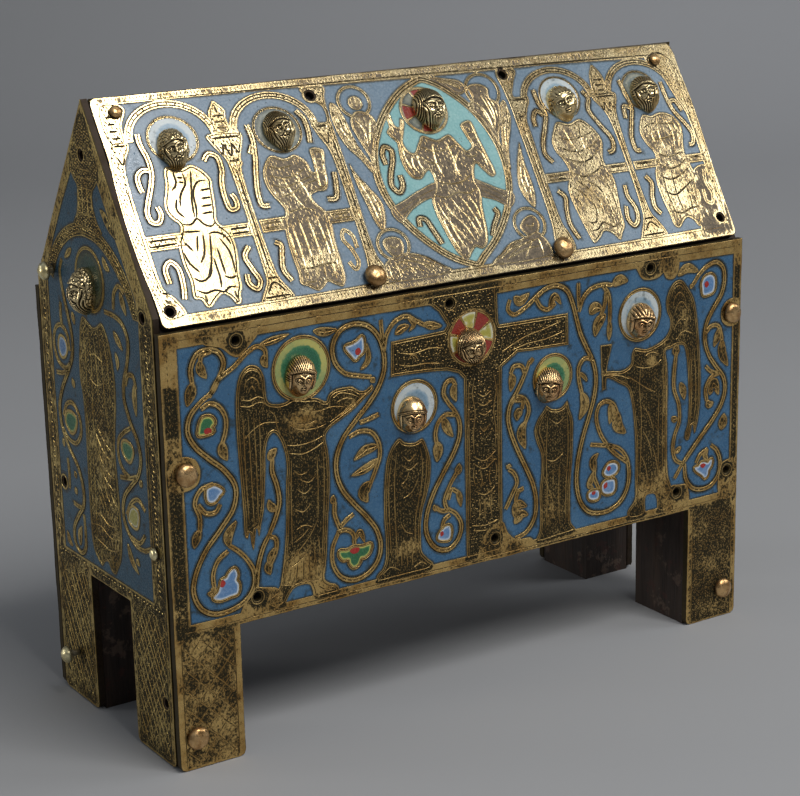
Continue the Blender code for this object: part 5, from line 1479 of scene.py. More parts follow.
roofLines = [
    [(23.5, 32.4), (23.3, 38), (20.6, 41)], [(27, 33.4), (27, 38), (23.6, 43), (22, 48)],
    [(24, 35.4), (27, 36)], [(24, 37.4), (27, 38)], [(30.6, 32.6), (28.8, 40), (27.2, 46), (26.2, 53)],
    [(35.8, 38), (32, 38.2), (29, 42), (28, 49), (26.8, 54)], [(31.5, 42), (36.2, 41.6)],
    [(31, 45.4), (35.4, 45.2)], [(30, 48.6), (34.8, 48.4)], [(29.4, 51.6), (34.4, 51.4)],
    [(20, 54.8), (24, 55.4), (27, 53.4), (29, 56), (31.4, 57.2), (34, 55.6)],
    [(19.4, 58), (23, 58.4), (27, 58.6)], [(19, 62), (21.6, 66.6)], [(25, 60), (23, 67)],
    [(27.4, 59.6), (25.4, 68), (22.6, 72)], [(30, 60), (28.4, 67), (26.6, 73), (24, 77.4)],
    [(17.6, 66), (18.6, 71), (21.6, 75.6)], [(29, 60.4), (32, 59.8), (35.6, 62), (37, 66)],
    [(33, 62), (35.4, 69), (35, 78)], [(31, 66), (31, 78)], [(28.4, 70), (28.4, 79), (27.6, 83)],
    [(18, 77), (21, 79), (25, 77), (27, 72)],
    [(17.6, 82), (21, 84), (25, 83.4), (28.4, 84.6), (31, 83), (34.6, 83.8)],
    [(30, 78), (32.6, 79.4), (35.6, 78.6)], [(20.6, 84.6), (20.6, 88)], [(32.4, 84.4), (32.4, 88.4)],
    [(21.6, 44), (20.4, 49), (22.6, 52.6)],
    [(82.8, 31.4), (81.9, 38), (81.4, 46.6), (83.4, 46.6), (85, 39), (86, 31.8), (82.8, 31.4)],
    [(82.6, 34.4), (85.4, 34.8)], [(62, 35), (66, 36.6), (72, 36)],
    [(61, 39), (66, 41), (72, 40.4), (77, 38)], [(60.4, 43), (66, 45), (72, 43.6), (79, 41.6)],
    [(63, 49), (68, 48), (75, 44.8), (81, 43.4)], [(66, 40), (69, 50), (72, 56)],
    [(71, 38), (74, 46), (75.4, 53)], [(64, 56), (70, 54.8), (76, 56.4)], [(63.4, 60), (64, 72), (63.2, 85)],
    [(67, 58), (67.6, 72), (67.2, 86)], [(71, 58), (71.6, 70), (71, 85.4)], [(75, 58), (75.6, 72), (75, 87)],
    [(61.4, 80), (66, 80.6), (72, 79.8), (78.2, 80)], [(61, 86), (66, 86.6)],
    [(78, 62), (77.6, 74), (77, 84)], [(61.6, 64), (61.4, 76)],
    [(199.4, 37), (204, 39), (211, 38.6), (219, 36.4)], [(198.4, 42), (205, 45), (213, 44.4), (220.4, 41)],
    [(200.6, 48), (207, 50.6), (214, 49), (218.6, 45)], [(204, 33), (206, 42), (210, 52)],
    [(213, 32), (211.6, 42), (213.4, 50)], [(200.6, 55), (206, 57.6), (213, 56), (219, 52.6)],
    [(198.6, 62), (203, 66), (206.6, 73), (204, 80), (199.4, 79)],
    [(201.4, 59), (206.6, 64), (210, 72), (208.6, 80)], [(206.6, 59.6), (212, 64), (214.4, 72), (213, 84)],
    [(212.6, 58), (217, 63), (218, 72), (216.4, 82)], [(198, 66), (200, 72)],
    [(199.6, 84), (204, 83.4), (208, 80.6), (212.6, 83.4), (217.6, 81.6)], [(217, 58), (219.6, 62)],
    [(247, 38), (252, 36), (259, 36.6), (266.4, 37)], [(246.6, 42.6), (252, 44), (260, 43.6), (267.4, 42)],
    [(252.6, 34), (250.6, 42), (252, 50)], [(256.6, 33), (254.6, 42), (255.6, 51)],
    [(261, 33), (262.6, 42), (260.4, 51)], [(265, 35), (265.4, 42), (263.4, 50)],
    [(249.4, 51), (256, 53.4), (264, 51.6)], [(248.4, 56), (254, 59.4), (261, 58), (265.4, 55)],
    [(246.6, 62), (252, 64.6), (258, 63.6), (265, 60)], [(246, 70), (252, 72.6), (258, 70), (264.6, 66.4)],
    [(249, 60), (248, 72), (249, 84)], [(254, 62), (253, 74), (254, 83)],
    [(259, 60), (260, 72), (258.6, 84)], [(262.4, 60), (262.6, 72), (261.4, 82)],
    [(246.4, 80), (252, 82), (258, 80.4), (263.6, 80)], [(131, 34), (136, 37), (143, 37), (149, 34.6)],
    [(137, 33), (136, 42), (137.4, 50)], [(143.6, 33), (144.6, 42), (143, 50)],
    [(129, 38.6), (133, 42), (138, 43)], [(148.6, 38), (144.6, 44), (145, 50)],
    [(122.6, 33), (122.6, 40), (124.6, 46)], [(125.6, 38), (125, 43), (127, 47)],
    [(128.4, 37), (128, 42), (129, 45)], [(132.6, 50), (138, 52.6), (145, 52.4), (151.4, 49)],
    [(130, 57), (135, 58.6), (141, 57), (147, 58), (151, 56)],
    [(130, 60), (132, 68), (136, 75), (139.6, 81)], [(133, 59.6), (135, 66), (139, 72), (142, 80)],
    [(137, 58.6), (139, 64), (142, 69), (144.6, 78)], [(141, 58), (143.4, 63), (145.6, 70), (146.6, 77)],
    [(145, 58.6), (147.4, 64), (148, 71)], [(130, 66), (131, 75), (133.6, 84)],
    [(132.6, 66), (133.6, 74), (136, 82)], [(150.8, 40), (153.4, 41.6), (157, 41)],
    [(155.6, 28), (157.2, 27.8)], [(155.8, 30.6), (158, 30.2)], [(156.2, 33.6), (158.6, 33.2)],
    [(155.6, 37.6), (158.8, 40), (160, 47)], [(120.8, 20), (121.2, 27)], [(126.4, 22.6), (123.6, 28)],
    [(96.9, 14), (98.4, 23), (101.4, 31), (105, 38)], [(98.6, 13.6), (99.8, 22), (102.6, 29), (105.4, 36)],
    [(105.6, 19), (108, 24), (107.6, 32)], [(112.6, 19.4), (110.6, 25), (108.6, 31)],
    [(98.2, 42), (101, 50), (103, 58), (102.6, 65)], [(97.8, 44), (99.6, 52), (101, 60), (101.4, 66)],
    [(176.6, 24), (173.6, 33), (171.4, 42)], [(178.4, 22), (176.4, 30), (173, 38)],
    [(176.6, 46), (174, 55), (174.6, 63)], [(178.4, 44), (176.4, 54), (176.4, 64)],
    [(164, 16), (168, 22), (169, 31)], [(170, 14), (171.6, 22), (169.8, 30)],
    [(99, 87), (106, 84), (114, 86), (120, 90)], [(100, 90), (108, 87), (114, 89.6)],
    [(150, 90), (158, 86), (166, 84.6), (173, 83)], [(154, 90.4), (163, 87.6), (172, 86.6)],
    [(102, 76), (104, 77.6), (106.4, 76)], [(168, 76), (170.6, 77.4), (173, 75.6)],
    [(149, 4.4), (155, 6.6), (160, 9)], [(42.6, 20.9), (54.6, 20.9)],
    [(44, 24), (45.4, 28), (46.9, 24), (48.7, 29), (50.5, 24), (52, 28), (53.4, 24)],
    [(46.4, 31.2), (52, 31.2)], [(48.8, 34), (48.8, 79)], [(46.4, 82), (51.8, 82)],
    [(44.8, 88.6), (48.8, 84), (53, 88.6)], [(42.6, 90), (54.4, 90)], [(46, 11.4), (51, 11.4)],
    [(46, 14), (51, 14)], [(46, 16.6), (51, 16.6)], [(48.4, 7), (48.6, 10.6)],
    [(226.6, 19.9), (237.6, 19.9)],
    [(228, 23), (229.4, 26.6), (230.8, 23), (232.4, 27.6), (234, 23), (235.4, 26.6), (236.8, 23)],
    [(232.7, 31), (232.7, 79)], [(229.6, 82), (236, 82)], [(228.6, 88), (232.8, 84), (237, 88)],
    [(226.4, 90), (238.8, 90)], [(228.4, 11.4), (234.4, 11.4)], [(228.4, 14), (234.4, 14)],
    [(228.4, 16.6), (234.4, 16.6)], [(93.2, 20), (93.4, 50), (93.2, 79)], [(87.4, 20.3), (92.6, 20.3)],
    [(88.6, 23), (90.6, 28), (92.4, 22.6)], [(184.2, 20), (184, 50), (184.2, 79)],
    [(183, 17.4), (190.6, 17.4)], [(183.6, 25.6), (187, 25.6)], [(3.8, 20.2), (9.2, 20.2)],
    [(3.9, 24), (5.6, 28), (7.4, 23.4)], [(3.8, 31), (5.6, 31)], [(4, 8), (8, 8)], [(4, 11), (7.8, 11)],
    [(4, 14), (8, 14)], [(4, 17), (8.4, 17)], [(4.4, 84), (8, 87)], [(4, 81.4), (8, 82)],
    [(5, 60.2), (17, 60.2)], [(5, 62.6), (17, 62.4)], [(38, 59.6), (46, 59.6)], [(38, 61.6), (46, 61.6)],
    [(52, 59.2), (60, 59.2)], [(52, 61.2), (60, 61.2)], [(81.4, 59.4), (90, 59.4)],
    [(81.4, 61.2), (90, 61.2)], [(187.4, 55.6), (197, 55.6)], [(187.4, 57.2), (197, 57.2)],
    [(221, 55), (230, 55)], [(236, 55), (246, 55)], [(267, 55.2), (274, 55.2)],
]

finishes["turquoise"] = makeGlass("glass_turquoise", (134, 184, 184), (158, 200, 198), stain=(50, 80, 76))
finishes["haloGrey"] = makeGlass("glass_halo_grey", (118, 128, 124), (150, 158, 150), stains=1.0,
                                 rimColour=(150, 152, 136), rimAt=(0.3, 0.6), soilAt=(0.5, 1.0))


def archShape(middle, spring, half, rise, thick):
    outer, inner = [], []
    for k in range(33):
        a = math.pi - math.pi * k / 32
        outer.append(Vector((middle + half * math.cos(a), spring - rise * math.sin(a))))
        inner.append(Vector((middle + (half - thick) * math.cos(a), spring - (rise - thick) * math.sin(a))))
    return outer, inner


wingLines = [
    [(107, 83), (113, 86), (119, 91)], [(109.4, 82.2), (116, 85.4), (122, 90)],
    [(104.4, 83), (108, 87), (110, 91)], [(101.8, 83), (102.6, 87), (102.6, 91)],
    [(98.8, 85), (98.6, 88), (98.4, 91)], [(112, 81.8), (118.4, 84.8), (124.6, 90)],
    [(167, 83.6), (160, 86.6), (153, 91)], [(165.6, 82.6), (158, 85.2), (150.4, 90.4)],
    [(169.6, 83.4), (166, 87), (163, 91)], [(172, 82.4), (172.4, 87), (172, 91)],
    [(163, 82.6), (156.4, 84.8), (149, 89.4)], [(98.4, 14), (98.4, 23), (101, 30), (104.6, 37)],
    [(100.4, 16), (100.6, 23), (103, 30), (105.6, 37)], [(165, 16), (167, 22), (169, 30)],
    [(168, 13), (170, 20), (171, 28)], [(171, 13), (173, 19), (173, 25)], [(149, 4.6), (155, 7), (160, 10)],
    [(152, 4.6), (157, 6.4), (161, 8.6)],
]


seatHalves = [  # the seat to the left and to the right of the figure in the oval
    [(108, 61), (116, 57), (124, 53.6), (133, 51.4), (133, 56.6), (125, 58.8), (118, 62), (110.6, 67)],
    [(150, 51.6), (156, 54.4), (161, 57.4), (168, 61.4), (164.6, 67), (157.6, 63), (150, 59)],
]
seatLines = [
    [(111, 62.4), (118, 58.8), (126, 55.6), (132, 54)], [(152, 54.6), (159, 58.6), (165, 62.4)],
    [(111.6, 64.6), (118, 60.6), (126, 57.4)], [(152, 57), (158, 60.8), (164, 65)],
]
faceCuts = [(-1.3, -0.9, 1.0, 0.0), (1.3, -0.9, 1.0, 0.0), (0, 0.3, 1.7, 1.57), (0, 1.9, 1.5, 0.0)]


def drawRoof(sheet, cellSheets):
    for line in ([(5, 2.3), (140, 2.0), (274, 2.3)], [(5, 92.2), (140, 92.3), (274, 92.2)]):
        engraveLine(sheet, straightLine(line, 2.0, False), 0.4)
    chooser = random.Random(39)
    for v, gap in ((1.1, 1.3), (93.9, 1.5)):  # short cuts side by side along the top and the bottom edge
        u = 4.0
        while u < 276:
            if noise.noise(Vector((u * 0.05, v, 3.0))) > -0.25:
                punchMark(sheet, u, v, 1.3, 0.5, 1.57 + chooser.uniform(-0.25, 0.25))
            u += gap * chooser.uniform(0.8, 1.3)
    for u in (1.7, 277.6):  # punched dots down both ends
        v = 5.0
        while v < 90:
            punchMark(sheet, u + 0.5 * math.sin(v), v, 0.9, 0.45, 1.5)
            v += 2.2
    for u in (3.6, 276.2):
        engraveLine(sheet, straightLine([(u, 4), (u, 90)], 2.0, False), 0.4)
    bareCorner = [(266.6, 62), (275, 60), (276, 92), (260, 92), (262, 84), (265, 76)]
    keepShape(sheet, smoothLine(bareCorner, 1.0, True), 0.66)
    outlines = []
    for u, v, radius, finish in roof["halos"]:
        keepHalo(sheet, cellSheets, u, v, radius, finish, 0.3, 1.1)
    for middle, spring, half, rise in roof["arches"]:
        outer, inner = archShape(middle, spring, half + 1.6, rise, 3.3)
        outlines.append(keepShape(sheet, outer + inner[::-1], 0.28))
        for share in (0.3, 0.7):
            engraveLine(sheet, [p.lerp(q, share) for p, q in zip(outer, inner)][1:-1], 0.6, 0.13)
        for p, q in zip(outer[1::2], inner[1::2]):  # a rope twist between the two lines
            way = (q - p).normalized()
            spot = p.lerp(q, 0.5)
            punchMark(sheet, spot.x, spot.y, 2.2, 0.75, math.atan2(way.y, way.x) + 0.7)
    # pointed oval, then the seat and the figure in it
    oval = keepShape(sheet, smoothLine(ovalOuter, 1.0, True), 0.25)
    for depth in (1.1, 2.3):
        engraveLine(sheet, inset(oval, depth), 0.55, 0.12, True)
    addCell(sheet, cellSheets, inset(oval, 3.4), "turquoise", 0.9)
    for seat in seatHalves:
        keepShape(sheet, smoothLine(seat, 1.0, True), 0.84)
    engraveAll(sheet, seatLines, 0.4, 0.12)
    u, v, radius = 138.6, 18, 11.2
    keepShape(sheet, circle(u, v, radius), 0.2)
    addWheel(sheet, cellSheets, u, v, radius - 1.4, 0.0, ("brick", "haloGrey"))
    for u, v, radius in ((108, 11, 7.7), (170, 11.4, 8.7), (104, 76, 7.6), (170.4, 76, 8.2)):
        keepShape(sheet, circle(u, v, radius), 0.2)
        engraveLine(sheet, circle(u, v, radius - 0.75), 0.35, 0.12, True)
        addCell(sheet, cellSheets, circle(u, v, radius - 1.5), "roofBlue", 1.0)
    for outline, bare in roofPieces:
        if 97 < sum(u for u, _ in outline) / len(outline) < 179:  # the four winged figures are more worn
            bare += 0.4
        outlines.append(keepShape(sheet, straightLine(outline, 1.0) if len(outline) < 5 else
                                  smoothLine(outline, 1.0, True), bare))
    for spot in ((108.4, 11.6, 3.3), (169, 11.4, 3.2)):
        keepShape(sheet, circle(*spot), 0.62)
    body = keepShape(sheet, smoothLine(throned, 0.9, True), 0.8)
    engraveLine(sheet, inset(body, 1.0), 0.6, 0.13, True)
    wears = (wearPatches(0.14, [(31, 84, 7, 8, 0.14)]), wearPatches(0.76, [(68, 78, 12, 8, -0.2)]),
             wearPatches(0.56, [(205, 70, 9, 12, -0.2)]), wearPatches(0.56, [(256, 72, 9, 12, -0.2)]))
    for k, points in enumerate(roofFigures):
        line = keepShape(sheet, smoothLine(points, 0.9, True), wears[k])
        engraveLine(sheet, inset(line, 1.1), 0.6, 0.13, True)
        if k:
            fillDashes(sheet, line, 1.3, 2.5, 2.0, 0.66, (1.45, 1.57, 1.65)[k - 1], 40 + k, 1.7, 0.7)
    fillDashes(sheet, body, 1.3, 2.5, 1.9, 0.66, 1.5, 47, 1.7, 0.62)
    for outline in outlines[4:]:
        engraveLine(sheet, inset(outline, 0.9), 0.4, 0.12, True)
        if not 97 < outline[0].x < 179:
            fillDashes(sheet, outline, 1.3, 2.0, 1.9, 0.75, 1.3, 50, 1.1, 0.8)
    engraveAll(sheet, roofLines, 1.0, 0.15)
    engraveAll(sheet, wingLines, 0.75, 0.14)  # feathers of the winged figures at the oval's four corners
    for u, v in ((104, 77), (170.4, 77), (108.4, 11.6), (169, 11.4)):  # and their small faces
        for across, down, length, angle in faceCuts:
            punchMark(sheet, u + across, v + down, length, 0.45, angle)


makePlate("roofFront", "roof_front", "plate_roof_front", roof, drawRoof, "roofGiltPaintedGlare", "roofBlue", 0.3)
print("stage 4: front roof slope made")


# The gabled ends: one standing figure under an arch, between two scrolls; the far end is plainer
gableSize = {"width": 102.4, "peak": 51.2, "foot": 256.1, "legTop": 196.5, "gap": (33.2, 69.2)}


def gableWear(u, v):
    left, right = gableSize["gap"]
    if v > 191:
        edge = min(u, abs(left - u), abs(right - u), gableSize["width"] - u)
        return (0.5 if edge < 3 else 0.8) + (0.12 if u > 60 and v < 235 else 0)
    if v < 76:
        return 0.46 if v > 14 else 0.6
    return 0.6 if u < 12 else 0.74


def gableOutline(top, eave):
    width, foot, legTop, (left, right) = (gableSize[key] for key in ("width", "foot", "legTop", "gap"))
    return roundFeet([(gableSize["peak"], top), (0, eave), (0, foot), (left, foot), (left, legTop),
                      (right, legTop), (right, foot), (width, foot), (width, eave)])


# A darker, dimmer copy of the green halo glass for the near gable: painted shade on this end.
finishes["haloDim"] = makeGlass("glass_halo_dim_shaded", (44, 72, 60), (66, 92, 74), stains=0.9, stain=(36, 38, 28),
                                rimColour=(84, 88, 58), rimAt=(0.25, 0.5), soilAt=(0.5, 0.95))
gable = {
    "outline": gableOutline(0, 75.9), "slab": "darkEdge", "seed": 5.0, "size": (102, 256), "pits": 130,
    "wear": gableWear, "holes": [(48.8, 21.6), (93.8, 77.0), (12.4, 161.5), (96.0, 230.6)],
    "fields": [
        straightLine([(51, 13), (29, 42), (19, 56.6), (10, 71), (9.6, 80), (9.4, 190.4), (90.4, 190.6),
                      (90.6, 82), (91, 78), (89, 71), (76.6, 53), (62, 31)], 1.2),
    ],
    "halo": (49.6, 70, 13.2),
    "figure": [
        (41, 86), (38, 90.6), (36.8, 97), (35.4, 104), (35, 112), (36.8, 120), (37.4, 130), (37, 142),
        (36.6, 156), (36.4, 170), (36.8, 179), (38.4, 184), (42, 187.6), (45, 188.8), (47.6, 186.4),
        (51, 185.6), (53.6, 188.6), (57, 189), (60, 185.6), (62.6, 182), (64.8, 174), (65, 162), (64.2, 148),
        (63.6, 136), (65, 126), (66.8, 116), (67, 106), (65.2, 97), (62.4, 90), (58, 85.6), (53, 88),
        (49.6, 88.8), (46, 87.6),
    ],
    "figureWear": wearPatches(0.92, [(54, 142, 10, 16, -0.42), (46, 172, 12, 12, -0.3),
                                     (37, 100, 2.4, 14, -0.4), (60, 176, 8, 10, -0.2)]),
    "tower": [
        (51.2, 6), (38.6, 24.4), (38, 27.6), (41, 31.6), (43.6, 33.6), (43.4, 38), (42.2, 44), (38.6, 50),
        (63.6, 50), (59.4, 45.6), (57, 40), (57.4, 34.6), (60.4, 32), (63.6, 27), (62, 23),
    ],
    "arch": ([(9, 73), (13, 66), (18, 60.4), (25, 54.8), (34, 50.4), (45, 48.2), (57, 48.8), (68, 52.6),
              (78, 59), (86, 67.6), (92, 79)], [(15, 75), (18.4, 69), (23, 63.4), (29, 59), (36, 55.6),
                                                (45, 53.6), (56, 54.2), (65, 57.4), (74, 63.4), (81, 70.6),
                                                (86.4, 79)]),
    "vines": {
        2.6: [
            [(24.4, 66), (22, 71), (23.6, 79), (27, 88), (29.6, 97), (28.4, 105), (23.6, 112), (16.6, 121),
             (13, 129), (14.4, 138), (20.4, 145.6), (27.6, 152), (31, 160), (30.4, 167), (24.6, 173),
             (19.4, 180), (20, 186.4), (25, 189), (29.4, 186), (30.4, 178), (30, 171)],
            [(61.6, 80.4), (70, 80.6), (76.6, 82.6), (80.6, 88), (79, 97), (75, 106), (74.4, 112),
             (78.4, 120), (84.4, 127.4), (86, 134), (83, 141), (76, 147), (69.6, 153), (67.6, 160),
             (70.6, 166.4), (77.4, 170.6), (85, 170.8), (90.6, 168.6)],
        ],
        2.0: [
            [(27.4, 107.6), (21.6, 111), (14.4, 109), (11.6, 102), (14, 96), (19.6, 93.6), (25, 96.4),
             (26.6, 103)],
            [(14.2, 137.4), (19.6, 141), (27, 141.4), (32.4, 136), (31.6, 129), (26, 124.8), (20, 126.6),
             (16.4, 132)],
            [(30, 168.4), (25, 168.8), (20.6, 168.4)], [(20.4, 93.6), (20, 88), (20.6, 84)],
            [(12.4, 114.6), (18, 113.8), (24.6, 111.4)], [(17.6, 150), (18, 157), (17.4, 163)],
            [(75.4, 143.4), (70, 142), (66.6, 137), (67.4, 130.4), (72, 126.4), (78.4, 123)],
            [(82, 141.6), (76.4, 143.6), (67, 145.4)], [(70.6, 160), (76, 153.6), (82, 151), (87.4, 154)],
            [(74, 168.4), (81, 168.8), (86, 164.6)], [(76.4, 106.4), (79, 102), (83.4, 101.6), (85.6, 106)],
            [(69.6, 78), (71, 71.4), (75.4, 68), (79.6, 70)],
        ],
    },
    "buds": [
        ([(34.6, 60), (31, 62.4), (27.6, 64.8)], 2.6), ([(62.6, 58.8), (65, 62), (68.4, 63.4)], 3.0),
        ([(76, 70), (78, 74), (80.6, 78.6)], 3.2), ([(68.4, 86.8), (72, 90), (75.8, 93)], 3.0),
        ([(84.6, 104), (83.6, 110), (84.4, 117)], 3.4), ([(69, 95), (70.6, 98.6), (70, 102)], 2.6),
        ([(12, 183), (14, 187), (17, 188.4)], 2.8), ([(22.8, 156), (25.6, 155)], 2.8),
        ([(22.4, 163.4), (25, 161.6)], 2.8), ([(24.4, 186), (24.8, 181), (27, 177)], 3.4),
        ([(84, 145), (86, 142)], 2.6), ([(70, 172), (73, 178), (78.6, 182.4)], 3.2),
        ([(76.6, 176.6), (80, 178.6)], 2.4), ([(15, 146), (14, 142)], 2.2), ([(31, 86), (33, 91)], 2.6),
        ([(29, 118), (27, 114)], 2.6),
    ],
    "cells": {
        "milk": [[(18, 99), (22, 99.4), (23.6, 102.6), (21.4, 105.8), (18.2, 106.4), (16.4, 103)]],
        "green": [
            [(19.4, 130.6), (24, 129.4), (28.4, 131), (26.4, 136), (22.6, 137.6), (18.4, 134.4)],
            [(71, 130.6), (75.4, 129.6), (79.4, 131.6), (76.4, 136.6), (73, 136), (70.4, 133.4)],
        ],
        "cream": [[(73, 158.6), (76.4, 155.6), (81, 156.6), (79.4, 162.6), (76, 163), (72.6, 161.4)]],
    },
}
gableLines = [
    [(45, 129.6), (48, 134), (53, 138.6), (60, 141.6)], [(47.6, 128), (52, 132.6), (58, 136), (62.6, 137)],
    [(47, 138), (51, 143.4), (57, 147), (62.6, 148)], [(48.4, 144.4), (53, 149.6), (60, 153)],
    [(46, 133), (47.4, 141), (50.4, 149), (54, 157), (60, 161.6)], [(41, 90), (41.6, 104), (41, 118)],
    [(45.6, 90), (46.6, 104), (45.6, 120), (44.6, 134)], [(50, 92), (51.4, 106), (51, 120)],
    [(55, 91), (56.4, 104), (57, 118), (59.6, 130)], [(59.4, 92), (61.4, 104), (62, 118)],
    [(39, 120), (40, 136), (39.4, 152), (39.4, 166)], [(42.6, 138), (43, 152), (42.4, 166), (42, 178)],
    [(38.4, 168), (46, 166.4), (54, 169), (63.6, 167)], [(38.6, 172.4), (46, 171.6), (55, 174), (63.6, 172)],
    [(38.8, 177.6), (46, 178.6), (54, 179.6), (62.4, 177.4)], [(46, 152), (50, 158), (54, 165)],
    [(46.4, 158), (49.4, 163)], [(57, 154), (60, 158), (63, 159.4)], [(45.4, 180.6), (45.4, 187)],
    [(55.4, 181), (55.6, 187.4)], [(44, 101), (50, 99.6), (57, 101.6)],
    [(43.6, 110), (50, 112), (57.6, 109.6)], [(36.6, 96), (36.2, 108)], [(44.6, 35), (44.4, 43)],
    [(48, 32), (47.6, 46)], [(52.4, 32), (52.6, 46)], [(55.6, 35), (56.4, 43)], [(43, 34.2), (57.6, 34.2)],
    [(42.6, 39), (57.6, 39)], [(41.6, 44.4), (58.6, 44.4)], [(42, 30.4), (60.4, 30.4)],
    [(44.6, 27), (57.6, 27)],
]


def mirrored(points):
    return [(gableSize["width"] - p[0], *p[1:]) for p in points]


def drawGableBorder(sheet, plate):
    slope, drop = 75.9 / gableSize["peak"], plate.get("drop", 0.0)
    for reach in (1.6, 3.2, 4.9):  # dots along the two slopes
        for sign in (1, -1):
            v = 8.0 + reach * slope
            while v < 74:
                u = gableSize["peak"] + sign * (v / slope - reach * 1.2)
                v += drop
                punchMark(sheet, u, v, 1.1, 0.6, math.atan(slope) * sign)
                v += 1.7 - drop
    for u in (2.4, 7.2, 93, 99.8):
        engraveLine(sheet, straightLine([(u, 80), (u, 189)], 2.0, False), 0.4)
    for u in (4.8, 96.4):
        v = 81.0
        while v < 188:
            punchMark(sheet, u + 0.5 * math.sin(2 * v), v, 2.4, 0.65, 0.4)
            v += 2.1
    u = 4.0
    while u < 99:
        punchMark(sheet, u, 192.6, 1.5, 0.6, 0.0)
        u += 2.6
    left, right = gableSize["gap"]
    for a, b, seed in ((0.0, left, 6), (right, gableSize["width"], 7)):
        drawLeg(sheet, a, b, 194.5, 255.4, seed, ((1.8, 6.6), (-1.3, 9.5)), 0.16, 0.7)


def drawGable(sheet, cellSheets):
    drawGableBorder(sheet, gable)
    u, v, radius = gable["halo"]
    keepHalo(sheet, cellSheets, u, v, radius, "haloDim", 0.62)
    outer, inner = (smoothLine(line, 1.0) for line in gable["arch"])
    arch = keepShape(sheet, outer + inner[::-1], 0.9)
    fillDashes(sheet, arch, 1.15, 1.5, 1.1, 0.66, 0.1, 61, 0.7, 0.95)
    for share in (0.3, 0.72):
        line = [Vector(outer[round(k * (len(outer) - 1) / 60)]).lerp(
            inner[round(k * (len(inner) - 1) / 60)], share) for k in range(61)]
        engraveLine(sheet, line, 0.4, 0.12)
    tower = keepShape(sheet, smoothLine(gable["tower"], 1.0, True), 0.9)
    fillDashes(sheet, tower, 1.2, 1.6, 1.2, 0.66, 0.3, 62, 0.8, 0.95)
    body = keepShape(sheet, smoothLine(gable["figure"], 0.9, True), gable["figureWear"])
    engraveLine(sheet, inset(body, 1.1), 0.36, 0.12, True)
    fillDashes(sheet, body, 1.3, 1.8, 1.4, 0.56, 1.4, 63, 1.8, 0.85)
    for line, width in gable["buds"]:
        bud(sheet, line, width, 0.4)
    for finish, outlines in gable["cells"].items():
        for outline in outlines:
            cell = smoothLine(outline, 0.6, True)
            keepShape(sheet, inset(cell, -1.4), 0.36, False)
            addCell(sheet, cellSheets, cell, finish, 1.2)
    # enamel lost from the corner under the slope, down to the copper
    lostEnamel = [(63, 40.6), (67, 41), (71.6, 45.6), (75.4, 50), (71, 48.8), (66.6, 45.6)]
    keepShape(sheet, smoothLine(lostEnamel, 0.9, True), 1.0, False)
    engraveAll(sheet, gableLines, 0.62, 0.13)


farGable = {
    "outline": gableOutline(6.4, 82.3),
    "slab": "darkEdge", "seed": 9.0, "size": (102, 256), "pits": 110, "wear": gableWear, "drop": 6.4,
    "holes": [(51.2, 21.6), (8, 226), (90.8, 160)],
    "fields": [straightLine(mirrored([
        (51, 20.4), (29, 49.4), (19, 64), (10, 78), (9.6, 86), (9.4, 190.4), (93, 190.6), (92.8, 88),
        (92.6, 81), (89, 75), (76, 58.6), (62, 38)]), 1.2)],
    "vines": {width: [mirrored(curve) for curve in curves] for width, curves in gable["vines"].items()},
}


def drawFarGable(sheet, cellSheets):
    drawGableBorder(sheet, farGable)
    u, v, radius = gable["halo"]
    keepHalo(sheet, cellSheets, gableSize["width"] - u, v, radius, "haloMilk", 0.4)
    outer, inner = (smoothLine(mirrored(line), 1.0) for line in gable["arch"])
    arch = keepShape(sheet, outer + inner[::-1], 0.45)
    fillDashes(sheet, arch, 1.5, 2.0, 0.9, 0.5, 0.1, 71, 0.9, 0.8)
    tower = [(u, 12.6 + (v - 6) * 0.85) for u, v in mirrored(gable["tower"])]
    keepShape(sheet, smoothLine(tower, 1.0, True), 0.55)
    body = keepShape(sheet, smoothLine(mirrored(gable["figure"]), 0.9, True),
                     wearPatches(0.6, [(54, 142, 14, 30, 0.3)]))
    engraveLine(sheet, inset(body, 1.1), 0.36, 0.12, True)
    for line, width in gable["buds"]:
        bud(sheet, mirrored(line), width, 0.4)
    for outlines in gable["cells"].values():
        for outline in outlines:
            keepShape(sheet, smoothLine(mirrored(outline), 0.7, True), 0.4)
    engraveAll(sheet, [mirrored(line) for line in gableLines], 0.42, 0.12)


makePlate("gableLeft", "gable_left", "plate_gable_left", gable, drawGable, "gableGilt", "gableBlueShaded", 0.46)
makePlate("gableRight", "gable_right", "plate_gable_right", farGable, drawFarGable, "gableGilt", "gableBlueShaded",
          0.34)
print("stage 5: gabled ends made")


# The hidden back: the same quatrefoil in a ring, repeated over wall and roof
rosettes = {"ring": 9.4, "reach": 4.3, "core": 2.2}


def drawRosette(sheet, cellSheets, u, v, scale, finish):
    ring = circle(u, v, rosettes["ring"] * scale)
    keepShape(sheet, ring, 0.35)
    addCell(sheet, cellSheets, circle(u, v, (rosettes["ring"] - 1.3) * scale), finish, 2.4)
    points = []
    for k in range(48):
        a = math.tau * k / 48
        reach = rosettes["reach"] * scale * (0.98 + 0.42 * abs(math.cos(2 * a)) ** 0.7)
        points.append(Vector((u + reach * math.cos(a), v + reach * math.sin(a))))
    keepShape(sheet, points, 0.4)
    for k in range(4):
        a = math.tau * (k + 0.5) / 4
        line = [Vector((u + r * scale * math.cos(a), v + r * scale * math.sin(a))) for r in (1.2, 2.4, 3.4)]
        engraveLine(sheet, line, 0.45)
    addCell(sheet, cellSheets, circle(u, v, rosettes["core"] * scale), "brick", 1.0)


